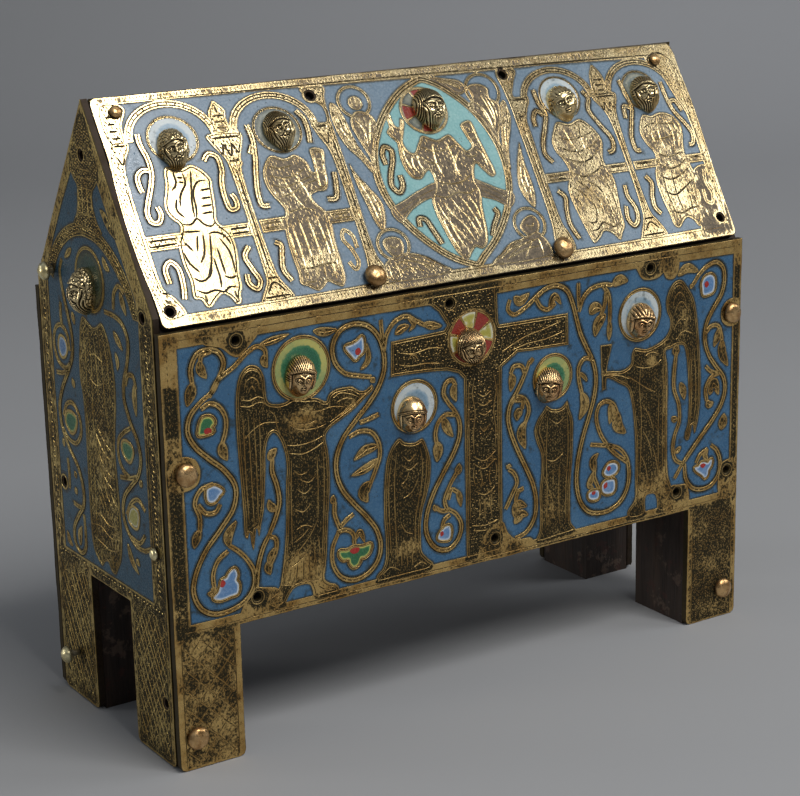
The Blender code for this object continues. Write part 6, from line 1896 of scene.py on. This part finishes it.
def drawBackWall(sheet, cellSheets):
    for line in ([(3.2, 3.1), (282.6, 3.1)], [(4, 118.2), (282, 118.2)]):
        engraveLine(sheet, straightLine(line, 2.0, False), 0.45)
    for left, seed in ((0, 8), (wall["width"] - wall["leg"], 9)):
        drawLeg(sheet, left, left + wall["leg"], 122, 175, seed, ((1.1, 10.0), (-1.1, 10.0)))
    for row in range(4):
        for column in range(10):
            u, v = 24.5 + 26.3 * column, 20 + 27.2 * row
            drawRosette(sheet, cellSheets, u, v, 1.0, ("haloMilk", "green")[(row + column) % 2])
            if row < 3 and column < 9:  # a small diamond between four rings
                middle = (u + 13.15, v + 13.6)
                keepShape(sheet, circle(*middle, 3.2, 4), 0.4)


def drawBackRoof(sheet, cellSheets):
    for line in ([(4, 1.6), (276, 1.6)], [(4, 93.4), (276, 93.4)]):
        engraveLine(sheet, straightLine(line, 2.0, False), 0.4)
    for row in range(3):
        for column in range(9):
            u, v = 23 + 29.2 * column, 19.5 + 28.4 * row
            drawRosette(sheet, cellSheets, u, v, 1.12, ("haloMilk", "green")[(row + column) % 2])
            if row < 2 and column < 8:
                keepShape(sheet, circle(u + 14.6, v + 14.2, 3.2, 4), 0.4)


def backWear(u, v):
    return 0.6 if v > 120 else 0.45 + 0.2 * math.exp(-((u - 180) / 60) ** 2)


back = {
    "outline": front["outline"], "seed": 11.0, "size": (286, 176), "pits": 120, "vines": {},
    "wear": backWear, "holes": [(52, 6.8), (143, 6.8), (226, 6.8), (96, 113.4), (190, 113.4)],
    "fields": [straightLine([(8, 6.2), (278, 6.4), (278, 115.2), (8, 115)], 1.4)],
}
roofBack = {
    "outline": [(-7.1, 0), (279.4, 0), (279.4, 95.9), (-1.3, 95.9)], "seed": 13.0, "size": (280, 96),
    "pits": 80, "vines": {}, "wear": backWear, "holes": [(140, 89), (7, 50)],
    "fields": [straightLine([(6, 4), (273.6, 4), (273.6, 90.6), (6, 90.6)], 1.4)],
}
makePlate("back", "back", "plate_back", back, drawBackWall, "frontGilt", "frontBlue")
makePlate("roofBack", "roof_back", "plate_roof_back", roofBack, drawBackRoof, "frontGilt", "frontBlue")
print("stage 6: back made")


# Cast heads: half an egg, its relief pushed out along the normal
# On the heads the grooves are the creases: darkened as grime and as painted shade
headLook = {"Dark": rgb(36, 28, 16), "Brown": rgb(80, 60, 34), "Strokes": 0.3, "Dirt in Grooves": 1.0,
            "Gold in Grooves": 0.15, "Flecks": 0.6}
finishes["headGilt"] = makeGilt("gilt_head", **headLook, **{"Gold": rgb(250, 216, 158), "Roughness": 0.24,
                                                            "Deep Gold": rgb(218, 166, 112)})
# A paler copy for the heads on the roof and the gables: painted highlight, the glare those heads catch.
finishes["headPaintedGlare"] = makeGilt("gilt_head_painted_glare", **headLook, **{
    "Gold": rgb(250, 228, 176), "Deep Gold": rgb(218, 184, 122), "Roughness": 0.24})
heads = {  # side, across, down, width, height, out, tilt, turn, bow, beard, hair, wear
    "head_angel_left": ("front", 59.0, 25.0, 12.4, 16.6, 8.5, 4, -14, 9, 0, "wavy", 0.12),
    "head_mourner_left": ("front", 109.8, 49.5, 12.6, 15.6, 8.0, 0, -20, 9, 0, "veil", 0.16),
    "head_crucified": ("front", 138.8, 25.7, 12.4, 15.6, 8.5, -14, -18, 6, 1, "parted", 0.34),
    "head_mourner_right": ("front", 178.1, 48.8, 12.4, 15.6, 8.0, 4, -26, 10, 0, "wavy", 0.24),
    "head_angel_right": ("front", 227.3, 28.5, 13.0, 15.6, 8.5, 6, -12, 9, 0, "locks", 0.14),
    "head_apostle_1": ("roofFront", 27.3, 25.4, 11.8, 16.8, 8.5, 0, -18, 20, 1, "curly", 0.12),
    "head_apostle_2": ("roofFront", 74.8, 22.9, 12.4, 16.8, 8.5, -6, -14, 8, 2, "parted", 0.12),
    "head_majesty": ("roofFront", 146.7, 20.7, 14.2, 18.4, 9.0, 4, 0, 14, 2, "parted", 0.14),
    "head_apostle_3": ("roofFront", 214.1, 24.8, 14.0, 16.8, 8.5, -5, -22, 16, 0, "smooth", 0.06),
    "head_apostle_4": ("roofFront", 259.6, 25.1, 13.2, 17.2, 8.5, 3, -25, 10, 1, "wavy", 0.1),
    "head_gable_left": ("gableLeft", 48.6, 74.5, 12.4, 18.6, 9.5, 0, 8, 4, 1, "curly", 0.14),
    "head_gable_right": ("gableRight", 51.2, 74.5, 12.4, 18.6, 9.5, 0, 0, 4, 1, "wavy", 0.2),
}
# How far each feature stands out, in millimetres
features = {"nose": 1.15, "brow": 0.42, "eye": 0.55, "lip": 0.38, "hair": 0.6, "strand": 0.2, "beard": 0.5}
headGrid = 56  # faces along one side of the cube that a head starts from


def bump(value, centre, width):
    return math.exp(-((value - centre) / width) ** 2)


def ramp(value, low, high):
    t = min(1.0, max(0.0, (value - low) / (high - low)))
    return t * t * (3 - 2 * t)


def sculptFace(x, y, beard):  # relief in mm at across x and up y, both -1 to 1
    side = abs(x)
    length = ramp(y, -0.16, -0.06) * (1 - ramp(y, 0.1, 0.34))
    relief = features["nose"] * (0.45 + 0.55 * bump(y, -0.1, 0.16)) * bump(side, 0, 0.085) * length
    relief += 0.34 * bump(side, 0.13, 0.055) * bump(y, -0.13, 0.06)
    arch = 0.30 - 1.1 * (side - 0.30) ** 2
    relief += features["brow"] * bump(y, arch, 0.055) * (1 - ramp(side, 0.5, 0.64))
    relief -= 0.75 * bump(side, 0.27, 0.15) * bump(y, 0.10, 0.15)
    across, up = (side - 0.29) / 0.175, (y - 0.09) / (0.085 * (1.15 - 0.35 * side))
    spread = math.hypot(across, up)
    relief += features["eye"] * (1 - ramp(spread, 0.45, 1.05)) + 0.2 * bump(spread, 1.25, 0.16)
    relief -= 0.3 * bump(spread, 0.0, 0.24)
    relief += 0.35 * bump(side, 0.38, 0.16) * bump(y, -0.17, 0.14)
    relief += features["lip"] * (bump(y, -0.325 + 0.25 * side * side, 0.032) + bump(y, -0.425, 0.036)) * (
        1 - ramp(side, 0.12, 0.22))
    relief -= 0.3 * bump(y, -0.375, 0.026) * (1 - ramp(side, 0.14, 0.25))
    relief += 0.3 * bump(side, 0, 0.2) * bump(y, -0.60, 0.12) * (0.6 if beard else 1.2)
    return relief


def sculptHair(x, y, z, style, seed):  # hair as strands, curls or a veil: relief in mm and its share
    side = abs(x)
    line = {"veil": 0.40, "smooth": 0.52, "locks": 0.44}.get(style, 0.46) - 0.35 * side ** 2
    share = max(ramp(y, line, line + 0.06), ramp(side - 0.14 * z, 0.60, 0.68) * ramp(y, -0.62, -0.42))
    if share <= 0:
        return 0.0, 0.0
    relief = features["hair"] * share * (0.35 if style == "smooth" else 1.0)
    if style == "veil":
        return relief + 0.35 * bump(y, line + 0.12, 0.03) * share, share
    angle = math.atan2(x, max(0.05, y + 0.12)) if style != "parted" else x * 2.4 - 0.5 * y
    if style == "curly":
        spot = Vector((x * 5.2, y * 5.2, z * 5.2 + seed))
        relief += 0.45 * share * (0.5 - noise.voronoi(spot)[0][0]) * 1.6
    elif style == "wavy":
        relief += 0.5 * features["strand"] * share * math.cos(46 * angle + 1.6 * math.sin(8 * y + seed))
        relief += 0.3 * bump(y, line + 0.09, 0.06) * share
    elif style == "locks":
        wave = 22 * (side - 0.3 * y) + 2 * math.sin(5 * y) + seed
        relief += features["strand"] * share * math.cos(wave) * 0.8
        relief += 0.3 * bump(y, line + 0.09, 0.06) * share
    elif style == "parted":
        relief += features["strand"] * share * math.cos(34 * angle)
    else:
        relief += 0.12 * share * math.cos(22 * angle)
    return relief, share


def sculptBeard(x, y, seed):
    side = abs(x)
    edge = -0.30 - 0.12 * bump(side, 0.0, 0.2) + 0.62 * ramp(side, 0.34, 0.66)
    share = 1 - ramp(y, edge - 0.06, edge)
    share *= 1 - bump(side, 0, 0.15) * bump(y, -0.40, 0.09)
    moustache = bump(y, -0.245 - 0.5 * side, 0.035) * (1 - ramp(side, 0.26, 0.34)) * ramp(side, 0.01, 0.05)
    strands = math.cos(34 * x * (1 + 0.5 * (-y)) + 1.6 * math.sin(7 * y + seed))
    return share * (features["beard"] + features["strand"] * strands) + 0.4 * moustache


def makeHeadMesh(name, width, height, out, beard, style, seed, wear, turned):
    across, up, deep = width / 2, height / 2, out * 0.9
    chin = (0.16, 0.36, 0.5)[beard]
    size = headGrid
    index, unit, polygons = {}, [], []

    def corner(p):
        p = p.normalized()
        key = (round(p.x, 5), round(p.y, 5), round(p.z, 5))
        if key not in index:
            index[key] = len(unit)
            unit.append(p)
        return index[key]

    def warp(t):
        return math.tan(t * math.pi / 4)

    for turn, rows in [(None, size)] + [(quarter, size // 2) for quarter in range(4)]:
        grid = []
        for j in range(rows + 1):
            row = []
            for i in range(size + 1):
                a = warp(2 * i / size - 1)
                if turn is None:
                    p = Vector((a, warp(2 * j / size - 1), 1.0))
                else:
                    p = Matrix.Rotation(turn * math.pi / 2, 3, "Z") @ Vector((1.0, a, warp(j * 2 / size)))
                row.append(corner(p))
            grid.append(row)
        for j in range(rows):
            for i in range(size):
                polygons.append((grid[j][i], grid[j][i + 1], grid[j + 1][i + 1], grid[j + 1][i]))
    rim = sorted((k for k, p in enumerate(unit) if abs(p.z) < 1e-4),
                 key=lambda k: math.atan2(unit[k].y, unit[k].x))
    places = []
    for p in unit:
        x, y, z = p
        jaw = 1 - chin * max(0.0, -y) ** 1.7
        shape = Vector((x * across * jaw, y * up, z * deep))
        way = Vector((x / across, y / up, z / deep)).normalized()
        seen = turned @ p
        hair, share = sculptHair(seen.x, seen.y, seen.z, style, seed)
        relief = sculptFace(seen.x, seen.y, beard) * (1 - share) * ramp(seen.z, 0.1, 0.35) + hair
        if beard:
            relief += sculptBeard(seen.x, seen.y, seed) * (1 - share)
        relief += 0.18 * noise.noise(Vector((x * 3, y * 3, z * 3 + seed)))
        shape += way * (relief - 0.35) * ramp(z, 0.0, 0.25)
        places.append(shape)
    start = len(places)
    low = [Vector((places[k].x, places[k].y, -0.02)) for k in rim]
    for k in rim:
        places[k] = Vector((places[k].x, places[k].y, max(0.0, places[k].z)))
    places += low
    count = len(rim)
    for k in range(count):
        a, b = rim[k], rim[(k + 1) % count]
        polygons.append((a, start + k, start + (k + 1) % count, b))
    polygons.append(tuple(start + k for k in range(count - 1, -1, -1)))
    mesh = bpy.data.meshes.new(name)
    mesh.from_pydata(places, [], polygons)
    sums = [Vector() for _ in places]
    counts = [0] * len(places)
    for edge in mesh.edges:
        a, b = edge.vertices
        sums[a] += places[b]
        sums[b] += places[a]
        counts[a] += 1
        counts[b] += 1
    # Darker in the creases of face, hair and beard: grime, and painted shade, stored in the groove attribute
    creaseDirtAndShade = []
    for k, p in enumerate(places):
        way = mesh.vertices[k].normal
        creaseDirtAndShade.append(min(1.0, max(0.0, (sums[k] / counts[k] - p).dot(way) * 26)) if k < start else 0.0)
    mesh.attributes.new("groove", "FLOAT", "POINT").data.foreach_set("value", creaseDirtAndShade)
    for label, value in (("rim", 0.0), ("side", 0.0), ("bare", wear)):
        mesh.attributes.new(label, "FLOAT", "POINT").data.foreach_set("value", [value] * len(places))
    return mesh


def buildHeads():
    for seed, (name, values) in enumerate(heads.items()):
        side, u, v, width, height, out, tilt, turn, bow, beard, style, wear = values
        turned = Matrix.Rotation(math.radians(-bow), 3, "X") @ Matrix.Rotation(math.radians(-turn), 3, "Y")
        mesh = makeHeadMesh(name, width, height, out, beard, style, seed * 1.7, wear, turned)
        mesh.transform(Matrix.Translation((u, -v, 0.0)) @ Matrix.Rotation(math.radians(-tilt), 4, "Z"))
        # heads off the front take the paler copy, as painted highlight
        finish = "headGilt" if side == "front" else "headPaintedGlare"
        placePiece(name.replace("head_", "cast_head_"), mesh, side, finish, (name,), True)


buildHeads()
print("stage 7: heads made")


# Nails with hammered heads, grown by nodes from one point each
def makeNailCopper(name, bright, deep):
    made, tree, shader, place = startMaterial(name, bright)
    cloud = grain(tree, place, 240.0, 3.0)
    grit = grain(tree, place, 1500.0, 3.0, 0.65)
    edge = readAttribute(tree, "rim")
    tone = blendColour(tree, between(tree, cloud, 0.0, 1.0, 0.35, 0.65), bright, deep)
    # Painted shade: the dome darkens towards its foot and underside, and the shank is dark all over, where
    # the head meets or stands off the plate; the grit breaks the edge up.
    worn = plus(tree, edge, times(tree, grit, 0.4))
    dirtAndShade = times(tree, between(tree, worn, 0.0, 1.0, 0.9, 1.25), 0.85)
    tree.links.new(blendColour(tree, dirtAndShade, tone, rgb(58, 40, 30)), shader["Base Color"])
    tree.links.new(between(tree, dirtAndShade, 1.0, 0.3), shader["Metallic"])
    tree.links.new(between(tree, grit, 0.24, 0.46, 0.3, 0.7), shader["Roughness"])
    addBump(tree, shader, plus(tree, times(tree, cloud, 1.6), grit), 0.4, 0.00008)
    return made


finishes["nail"] = makeNailCopper("nail_copper", rgb(226, 188, 134), rgb(176, 136, 88))
# A paler copy of the nail copper for the near gable: painted highlight, the glint its nails catch.
finishes["nailPaintedGlint"] = makeNailCopper("nail_painted_glint", rgb(255, 248, 205), rgb(236, 218, 162))
nailKinds = {"copper": (4.7, 2.6, 0.7), "knob": (4.7, 3.2, 1.6), "proud": (3.8, 2.8, 2.8),
             "loose": (3.7, 2.8, 4.6), "small": (2.7, 1.6, 0.5)}  # radius, height, stand-off
nails = {
    "front": ("nail_front", [("copper", 8.4, 55.2), ("copper", 280.2, 32.8), ("copper", 7.7, 162.0),
                             ("copper", 277.9, 161.4)]),
    "roofFront": ("nail_roof_front",
                  [("small", 9.2, 7.0), ("small", 273.3, 8.7), ("knob", 94.1, 88.9), ("knob", 186.2, 89.8)]),
    "gableLeft": ("nail_gable_left",
                  [("proud", 15.0, 71.8), ("loose", 15.4, 236.0), ("small", 95.0, 169.0)]),
    "back": ("nail_back",
             [("copper", 7.6, 40), ("copper", 278.4, 52), ("copper", 8.2, 146), ("copper", 277.8, 145)]),
    "roofBack": ("nail_roof_back",
                 [("small", 24, 6.6), ("small", 257, 6.6), ("copper", 92, 89), ("copper", 188, 88.6)]),
    "gableRight": ("nail_gable_right", [("copper", 9, 84), ("copper", 93.6, 84), ("copper", 96, 231)]),
}


def makeNailTree():
    tree, get = startTree("hammeredNail", [
        ("Shank Radius", "NodeSocketFloat", 1.45), ("Shank Depth", "NodeSocketFloat", 2.6),
        ("Hammer Marks", "NodeSocketFloat", 0.1), ("Finish", "NodeSocketMaterial", None)])
    ball = addNode(tree, "GeometryNodeMeshUVSphere",
                   {"Segments": 36, "Rings": 22, "Radius": 1.0}).outputs["Mesh"]
    x, y, z = splitVector(tree, readPlace(tree))
    high = calc(tree, "MAXIMUM", z, 0.0)
    low = calc(tree, "MAXIMUM", calc(tree, "MINIMUM", z, 0.0), -0.16)
    flat = joinVector(tree, x, y, plus(tree, calc(tree, "POWER", high, 0.85), low))
    # rim: 1 at the dome's foot, 0 on its top; the nail finish paints shade on it
    ball = storeNumber(tree, ball, "rim", minus(tree, 1.0, high))
    ball = movePoints(tree, ball, "Position", flat)
    shank = addNode(tree, "GeometryNodeMeshCylinder",
                    {"Vertices": 16, "Side Segments": 1, "Radius": 1.0, "Depth": 1.0}).outputs["Mesh"]
    shank = addNode(tree, "GeometryNodeTransform",
                    {"Geometry": shank, "Translation": joinVector(tree, 0.0, 0.0, -0.5)}).outputs[0]
    # the shank is all rim, so it is painted dark as shade
    shank = storeNumber(tree, shank, "rim", 1.0)
    radius, height, lift, spin = (readNumber(tree, name) for name in ("radius", "height", "lift", "spin"))
    points = movePoints(tree, get["Geometry"], "Offset", joinVector(tree, 0.0, 0.0, lift))
    domes = addNode(tree, "GeometryNodeInstanceOnPoints", {
        "Points": points, "Instance": ball, "Rotation": joinVector(tree, 0.0, 0.0, spin),
        "Scale": joinVector(tree, radius, times(tree, radius, 0.95), height)}).outputs[0]
    longer = plus(tree, lift, get["Shank Depth"])
    pins = addNode(tree, "GeometryNodeInstanceOnPoints", {
        "Points": points, "Instance": shank,
        "Scale": joinVector(tree, get["Shank Radius"], get["Shank Radius"], longer)}).outputs[0]
    domes = addNode(tree, "GeometryNodeRealizeInstances", {"Geometry": domes}).outputs[0]
    marks = addNode(tree, "ShaderNodeTexNoise", {"Vector": readPlace(tree), "Scale": 0.55, "Detail": 2.0})
    shift = times(tree, minus(tree, marks.outputs["Fac"], 0.5), 4.0)
    moved = addNode(tree, "ShaderNodeVectorMath", {
        0: tree.nodes.new("GeometryNodeInputNormal").outputs[0],
        "Scale": times(tree, shift, get["Hammer Marks"])}, operation="SCALE").outputs[0]
    domes = movePoints(tree, domes, "Offset", moved)
    both = tree.nodes.new("GeometryNodeJoinGeometry")
    tree.links.new(pins, both.inputs[0])
    tree.links.new(domes, both.inputs[0])
    endTree(tree, both.outputs[0], get["Finish"])
    return tree


nailTree = makeNailTree()


def buildNails():
    for side, (node, spots) in nails.items():
        carrier = bpy.data.meshes.new("carrier")
        carrier.from_pydata([(u, -v, 0.0) for _, u, v in spots], [], [])
        sizes = [nailKinds[kind] for kind, _, _ in spots]
        for label, numbers in (("radius", [s[0] * 0.99 for s in sizes]), ("height", [s[1] for s in sizes]),
                               ("lift", [s[2] + 0.3 for s in sizes]),
                               ("spin", [1.3 * k + u for k, (_, u, _) in enumerate(spots)])):
            carrier.attributes.new(label, "FLOAT", "POINT").data.foreach_set("value", numbers)
        # the near gable's nails take the paler copy, a painted glint
        finish = "nailPaintedGlint" if side == "gableLeft" else "nail"
        mesh = growTree(carrier, nailTree, {"Finish": finishes[finish], "Hammer Marks": 0.16,
                                            "Shank Depth": 2.6, "Shank Radius": 1.4})
        placePiece("domed_" + node, mesh, side, finish,
                   [f"{node}_{k + 1}" for k in range(len(spots))], True)


buildNails()
print("stage 8: nails made")


# The oak boards: dark with age, with ground and paint left on them in patches; the boards hidden behind the
# plates are darkened nearly to black as painted shade
def makeOak(name, paint, depth):  # paint: how much is left; depth: how far the tone is pulled towards black, for age and, on the hidden boards, for painted shade
    made, tree, shader, place = startMaterial(name, (0.14, 0.09, 0.06, 1))
    long = grain(tree, place, 60.0, 5.0, 0.65, (1.0, 1.0, 0.12))
    rings = grain(tree, place, 240.0, 4.0, 0.7, (1.0, 1.0, 0.06))
    pores = grain(tree, place, 900.0, 2.0, 0.6, (1.0, 1.0, 0.08))
    tone = blendColour(tree, between(tree, long, 0.0, 1.0, 0.35, 0.68), rgb(44, 31, 22), rgb(74, 54, 39))
    tone = blendColour(tree, between(tree, rings, 0.0, 0.7, 0.45, 0.7), tone, rgb(34, 24, 18))
    tone = blendColour(tree, between(tree, pores, 0.0, 0.8, 0.56, 0.70), tone, rgb(22, 16, 12))
    patches = grain(tree, place, 70.0, 5.0, 0.7)
    ground = between(tree, patches, 0.0, 1.0, 0.57, 0.64)
    redder = between(tree, grain(tree, place, 130.0, 4.0, 0.7), 0.0, 1.0, 0.56, 0.64)
    tone = blendColour(tree, times(tree, ground, paint), tone, rgb(128, 104, 86))
    tone = blendColour(tree, times(tree, redder, paint), tone, rgb(84, 40, 29))
    # depth pulls the tone towards black: age on the end boards and bottom, painted shade on the hidden
    # boards
    tone = blendColour(tree, depth, tone, rgb(14, 11, 9))
    tree.links.new(tone, shader["Base Color"])
    tree.links.new(between(tree, rings, 0.62, 0.86, 0.35, 0.7), shader["Roughness"])
    height = plus(tree, times(tree, long, 1.2), times(tree, ground, 0.5))
    height = minus(tree, height, times(tree, pores, 0.5))
    addBump(tree, shader, height, 0.6, 0.0004)
    return made


finishes["oak"] = makeOak("old_oak", 0.5, 0.25)
finishes["shadedOak"] = makeOak("oak_painted_shade", 0.15, 0.8)  # boards hidden behind the plates, seen down the holes: darkened nearly to black as painted shade
for name, node in frame["nodes"].items():
    if name.startswith("core_"):
        node.data.materials.clear()
        node.data.materials.append(finishes["oak" if "end" in name or "bottom" in name else "shadedOak"])
print("stage 9: boards dressed")


# Floor, light and camera
room = {"floor": rgb(186, 187, 190), "floorReach": 6.0, "backY": 2.2, "backHigh": 4.0, "sweep": 0.9}


def makeRoom():
    made, tree, shader, place = startMaterial("floor_paper", room["floor"])
    tone = blendColour(tree, grain(tree, place, 1.3, 2.0), rgb(160, 161, 163), rgb(168, 169, 171))
    x, y, _ = splitVector(tree, place)  # painted light: the backdrop is painted lighter to the right and further back
    across = minus(tree, times(tree, x, 0.84), times(tree, y, 0.54))
    away = plus(tree, times(tree, x, 0.54), times(tree, y, 0.84))
    paintedLight = times(tree, between(tree, across, 0.0, 0.75, -0.7, 0.3), between(tree, away, 0.0, 1.0, 0.6, 1.8))
    tone = blendColour(tree, paintedLight, tone, rgb(190, 191, 194))
    tree.links.new(tone, shader["Base Color"])
    shader["Roughness"].default_value = 0.75
    finishes["floor"] = made
    reach, back, sweep = room["floorReach"], room["backY"], room["sweep"]
    profile = [(-reach, 0.0)]
    for k in range(13):
        angle = k * math.pi / 24
        profile.append((back - sweep + sweep * math.sin(angle), sweep - sweep * math.cos(angle)))
    profile.append((back, room["backHigh"]))
    places = [(x, y, z) for y, z in profile for x in (-reach, reach)]
    faces = [(2 * k, 2 * k + 1, 2 * k + 3, 2 * k + 2) for k in range(len(profile) - 1)]
    mesh = bpy.data.meshes.new("floor")
    mesh.from_pydata(places, [], faces)
    mesh.materials.append(made)
    for polygon in mesh.polygons:
        polygon.use_smooth = True
    floor = bpy.data.objects.new("floor", mesh)
    bpy.context.scene.collection.objects.link(floor)
    turn = Matrix.Rotation(math.radians(-33.0), 4, "Z")  # the sweep stands square behind the casket
    mesh.transform(turn)


lamps = {  # place, aim, width, height, watts, colour
    "keyLamp": ((0.25, -1.25, 1.75), (0, 0, 0.12), 1.1, 0.9, 22.0, (1.0, 0.98, 0.95)),
    "glareLamp": ((0.36, -0.66, 1.24), (-0.15, 0, 0.22), 0.2, 0.2, 1.22, (0.97, 0.98, 1.0)),
    "rightLamp": ((2.05, -0.97, 1.42), (0, 0, 0.15), 1.0, 0.8, 12.0, (0.96, 0.98, 1.0)),
    "leftLamp": ((-1.85, 1.2, 0.4), (-0.14, 0, 0.15), 0.5, 0.4, 6.5, (1.0, 0.98, 0.95)),
}


def makeLights():
    for name, (place, aim, width, height, watts, colour) in lamps.items():
        data = bpy.data.lights.new(name, "AREA")
        data.shape, data.size, data.size_y = "RECTANGLE", width, height
        data.energy, data.color = watts, colour
        lamp = bpy.data.objects.new(name, data)
        lamp.location = place
        lamp.rotation_euler = (Vector(aim) - Vector(place)).to_track_quat("-Z", "Y").to_euler()
        bpy.context.scene.collection.objects.link(lamp)
    world = bpy.data.worlds.new("studio")
    world.use_nodes = True
    tree = world.node_tree
    tree.nodes.clear()
    _, _, height = splitVector(tree, tree.nodes.new("ShaderNodeTexCoord").outputs["Generated"])
    tone = blendColour(tree, between(tree, height, 0.0, 1.0, -0.1, 0.9), rgb(120, 124, 130),
                       rgb(205, 210, 216))
    back = addNode(tree, "ShaderNodeBackground", {"Color": tone, "Strength": 0.36})
    end = tree.nodes.new("ShaderNodeOutputWorld")
    tree.links.new(back.outputs[0], end.inputs["Surface"])
    bpy.context.scene.world = world


eye = {"place": (-0.4683, -0.7150, 0.3557), "azimuth": -33.01, "elevation": 15.70, "roll": -1.274,
       "lens": 92.88, "sensor": 36.0}


def makeCamera():
    azimuth, elevation, roll = (math.radians(eye[k]) for k in ("azimuth", "elevation", "roll"))
    back = Vector((math.sin(azimuth) * math.cos(elevation), -math.cos(azimuth) * math.cos(elevation),
                   math.sin(elevation)))
    right = Vector((math.cos(azimuth), math.sin(azimuth), 0))
    up = back.cross(right)
    right, up = (right * math.cos(roll) + up * math.sin(roll), up * math.cos(roll) - right * math.sin(roll))
    data = bpy.data.cameras.new("camera")
    data.lens, data.sensor_width = eye["lens"], eye["sensor"]
    camera = bpy.data.objects.new("camera", data)
    camera.matrix_world = Matrix.Translation(eye["place"]) @ Matrix((right, up, back)).transposed().to_4x4()
    bpy.context.scene.collection.objects.link(camera)
    bpy.context.scene.camera = camera
    bpy.context.scene.view_settings.view_transform = "Standard"


makeRoom()
makeLights()
makeCamera()
print("stage 10: room, lights and camera placed")
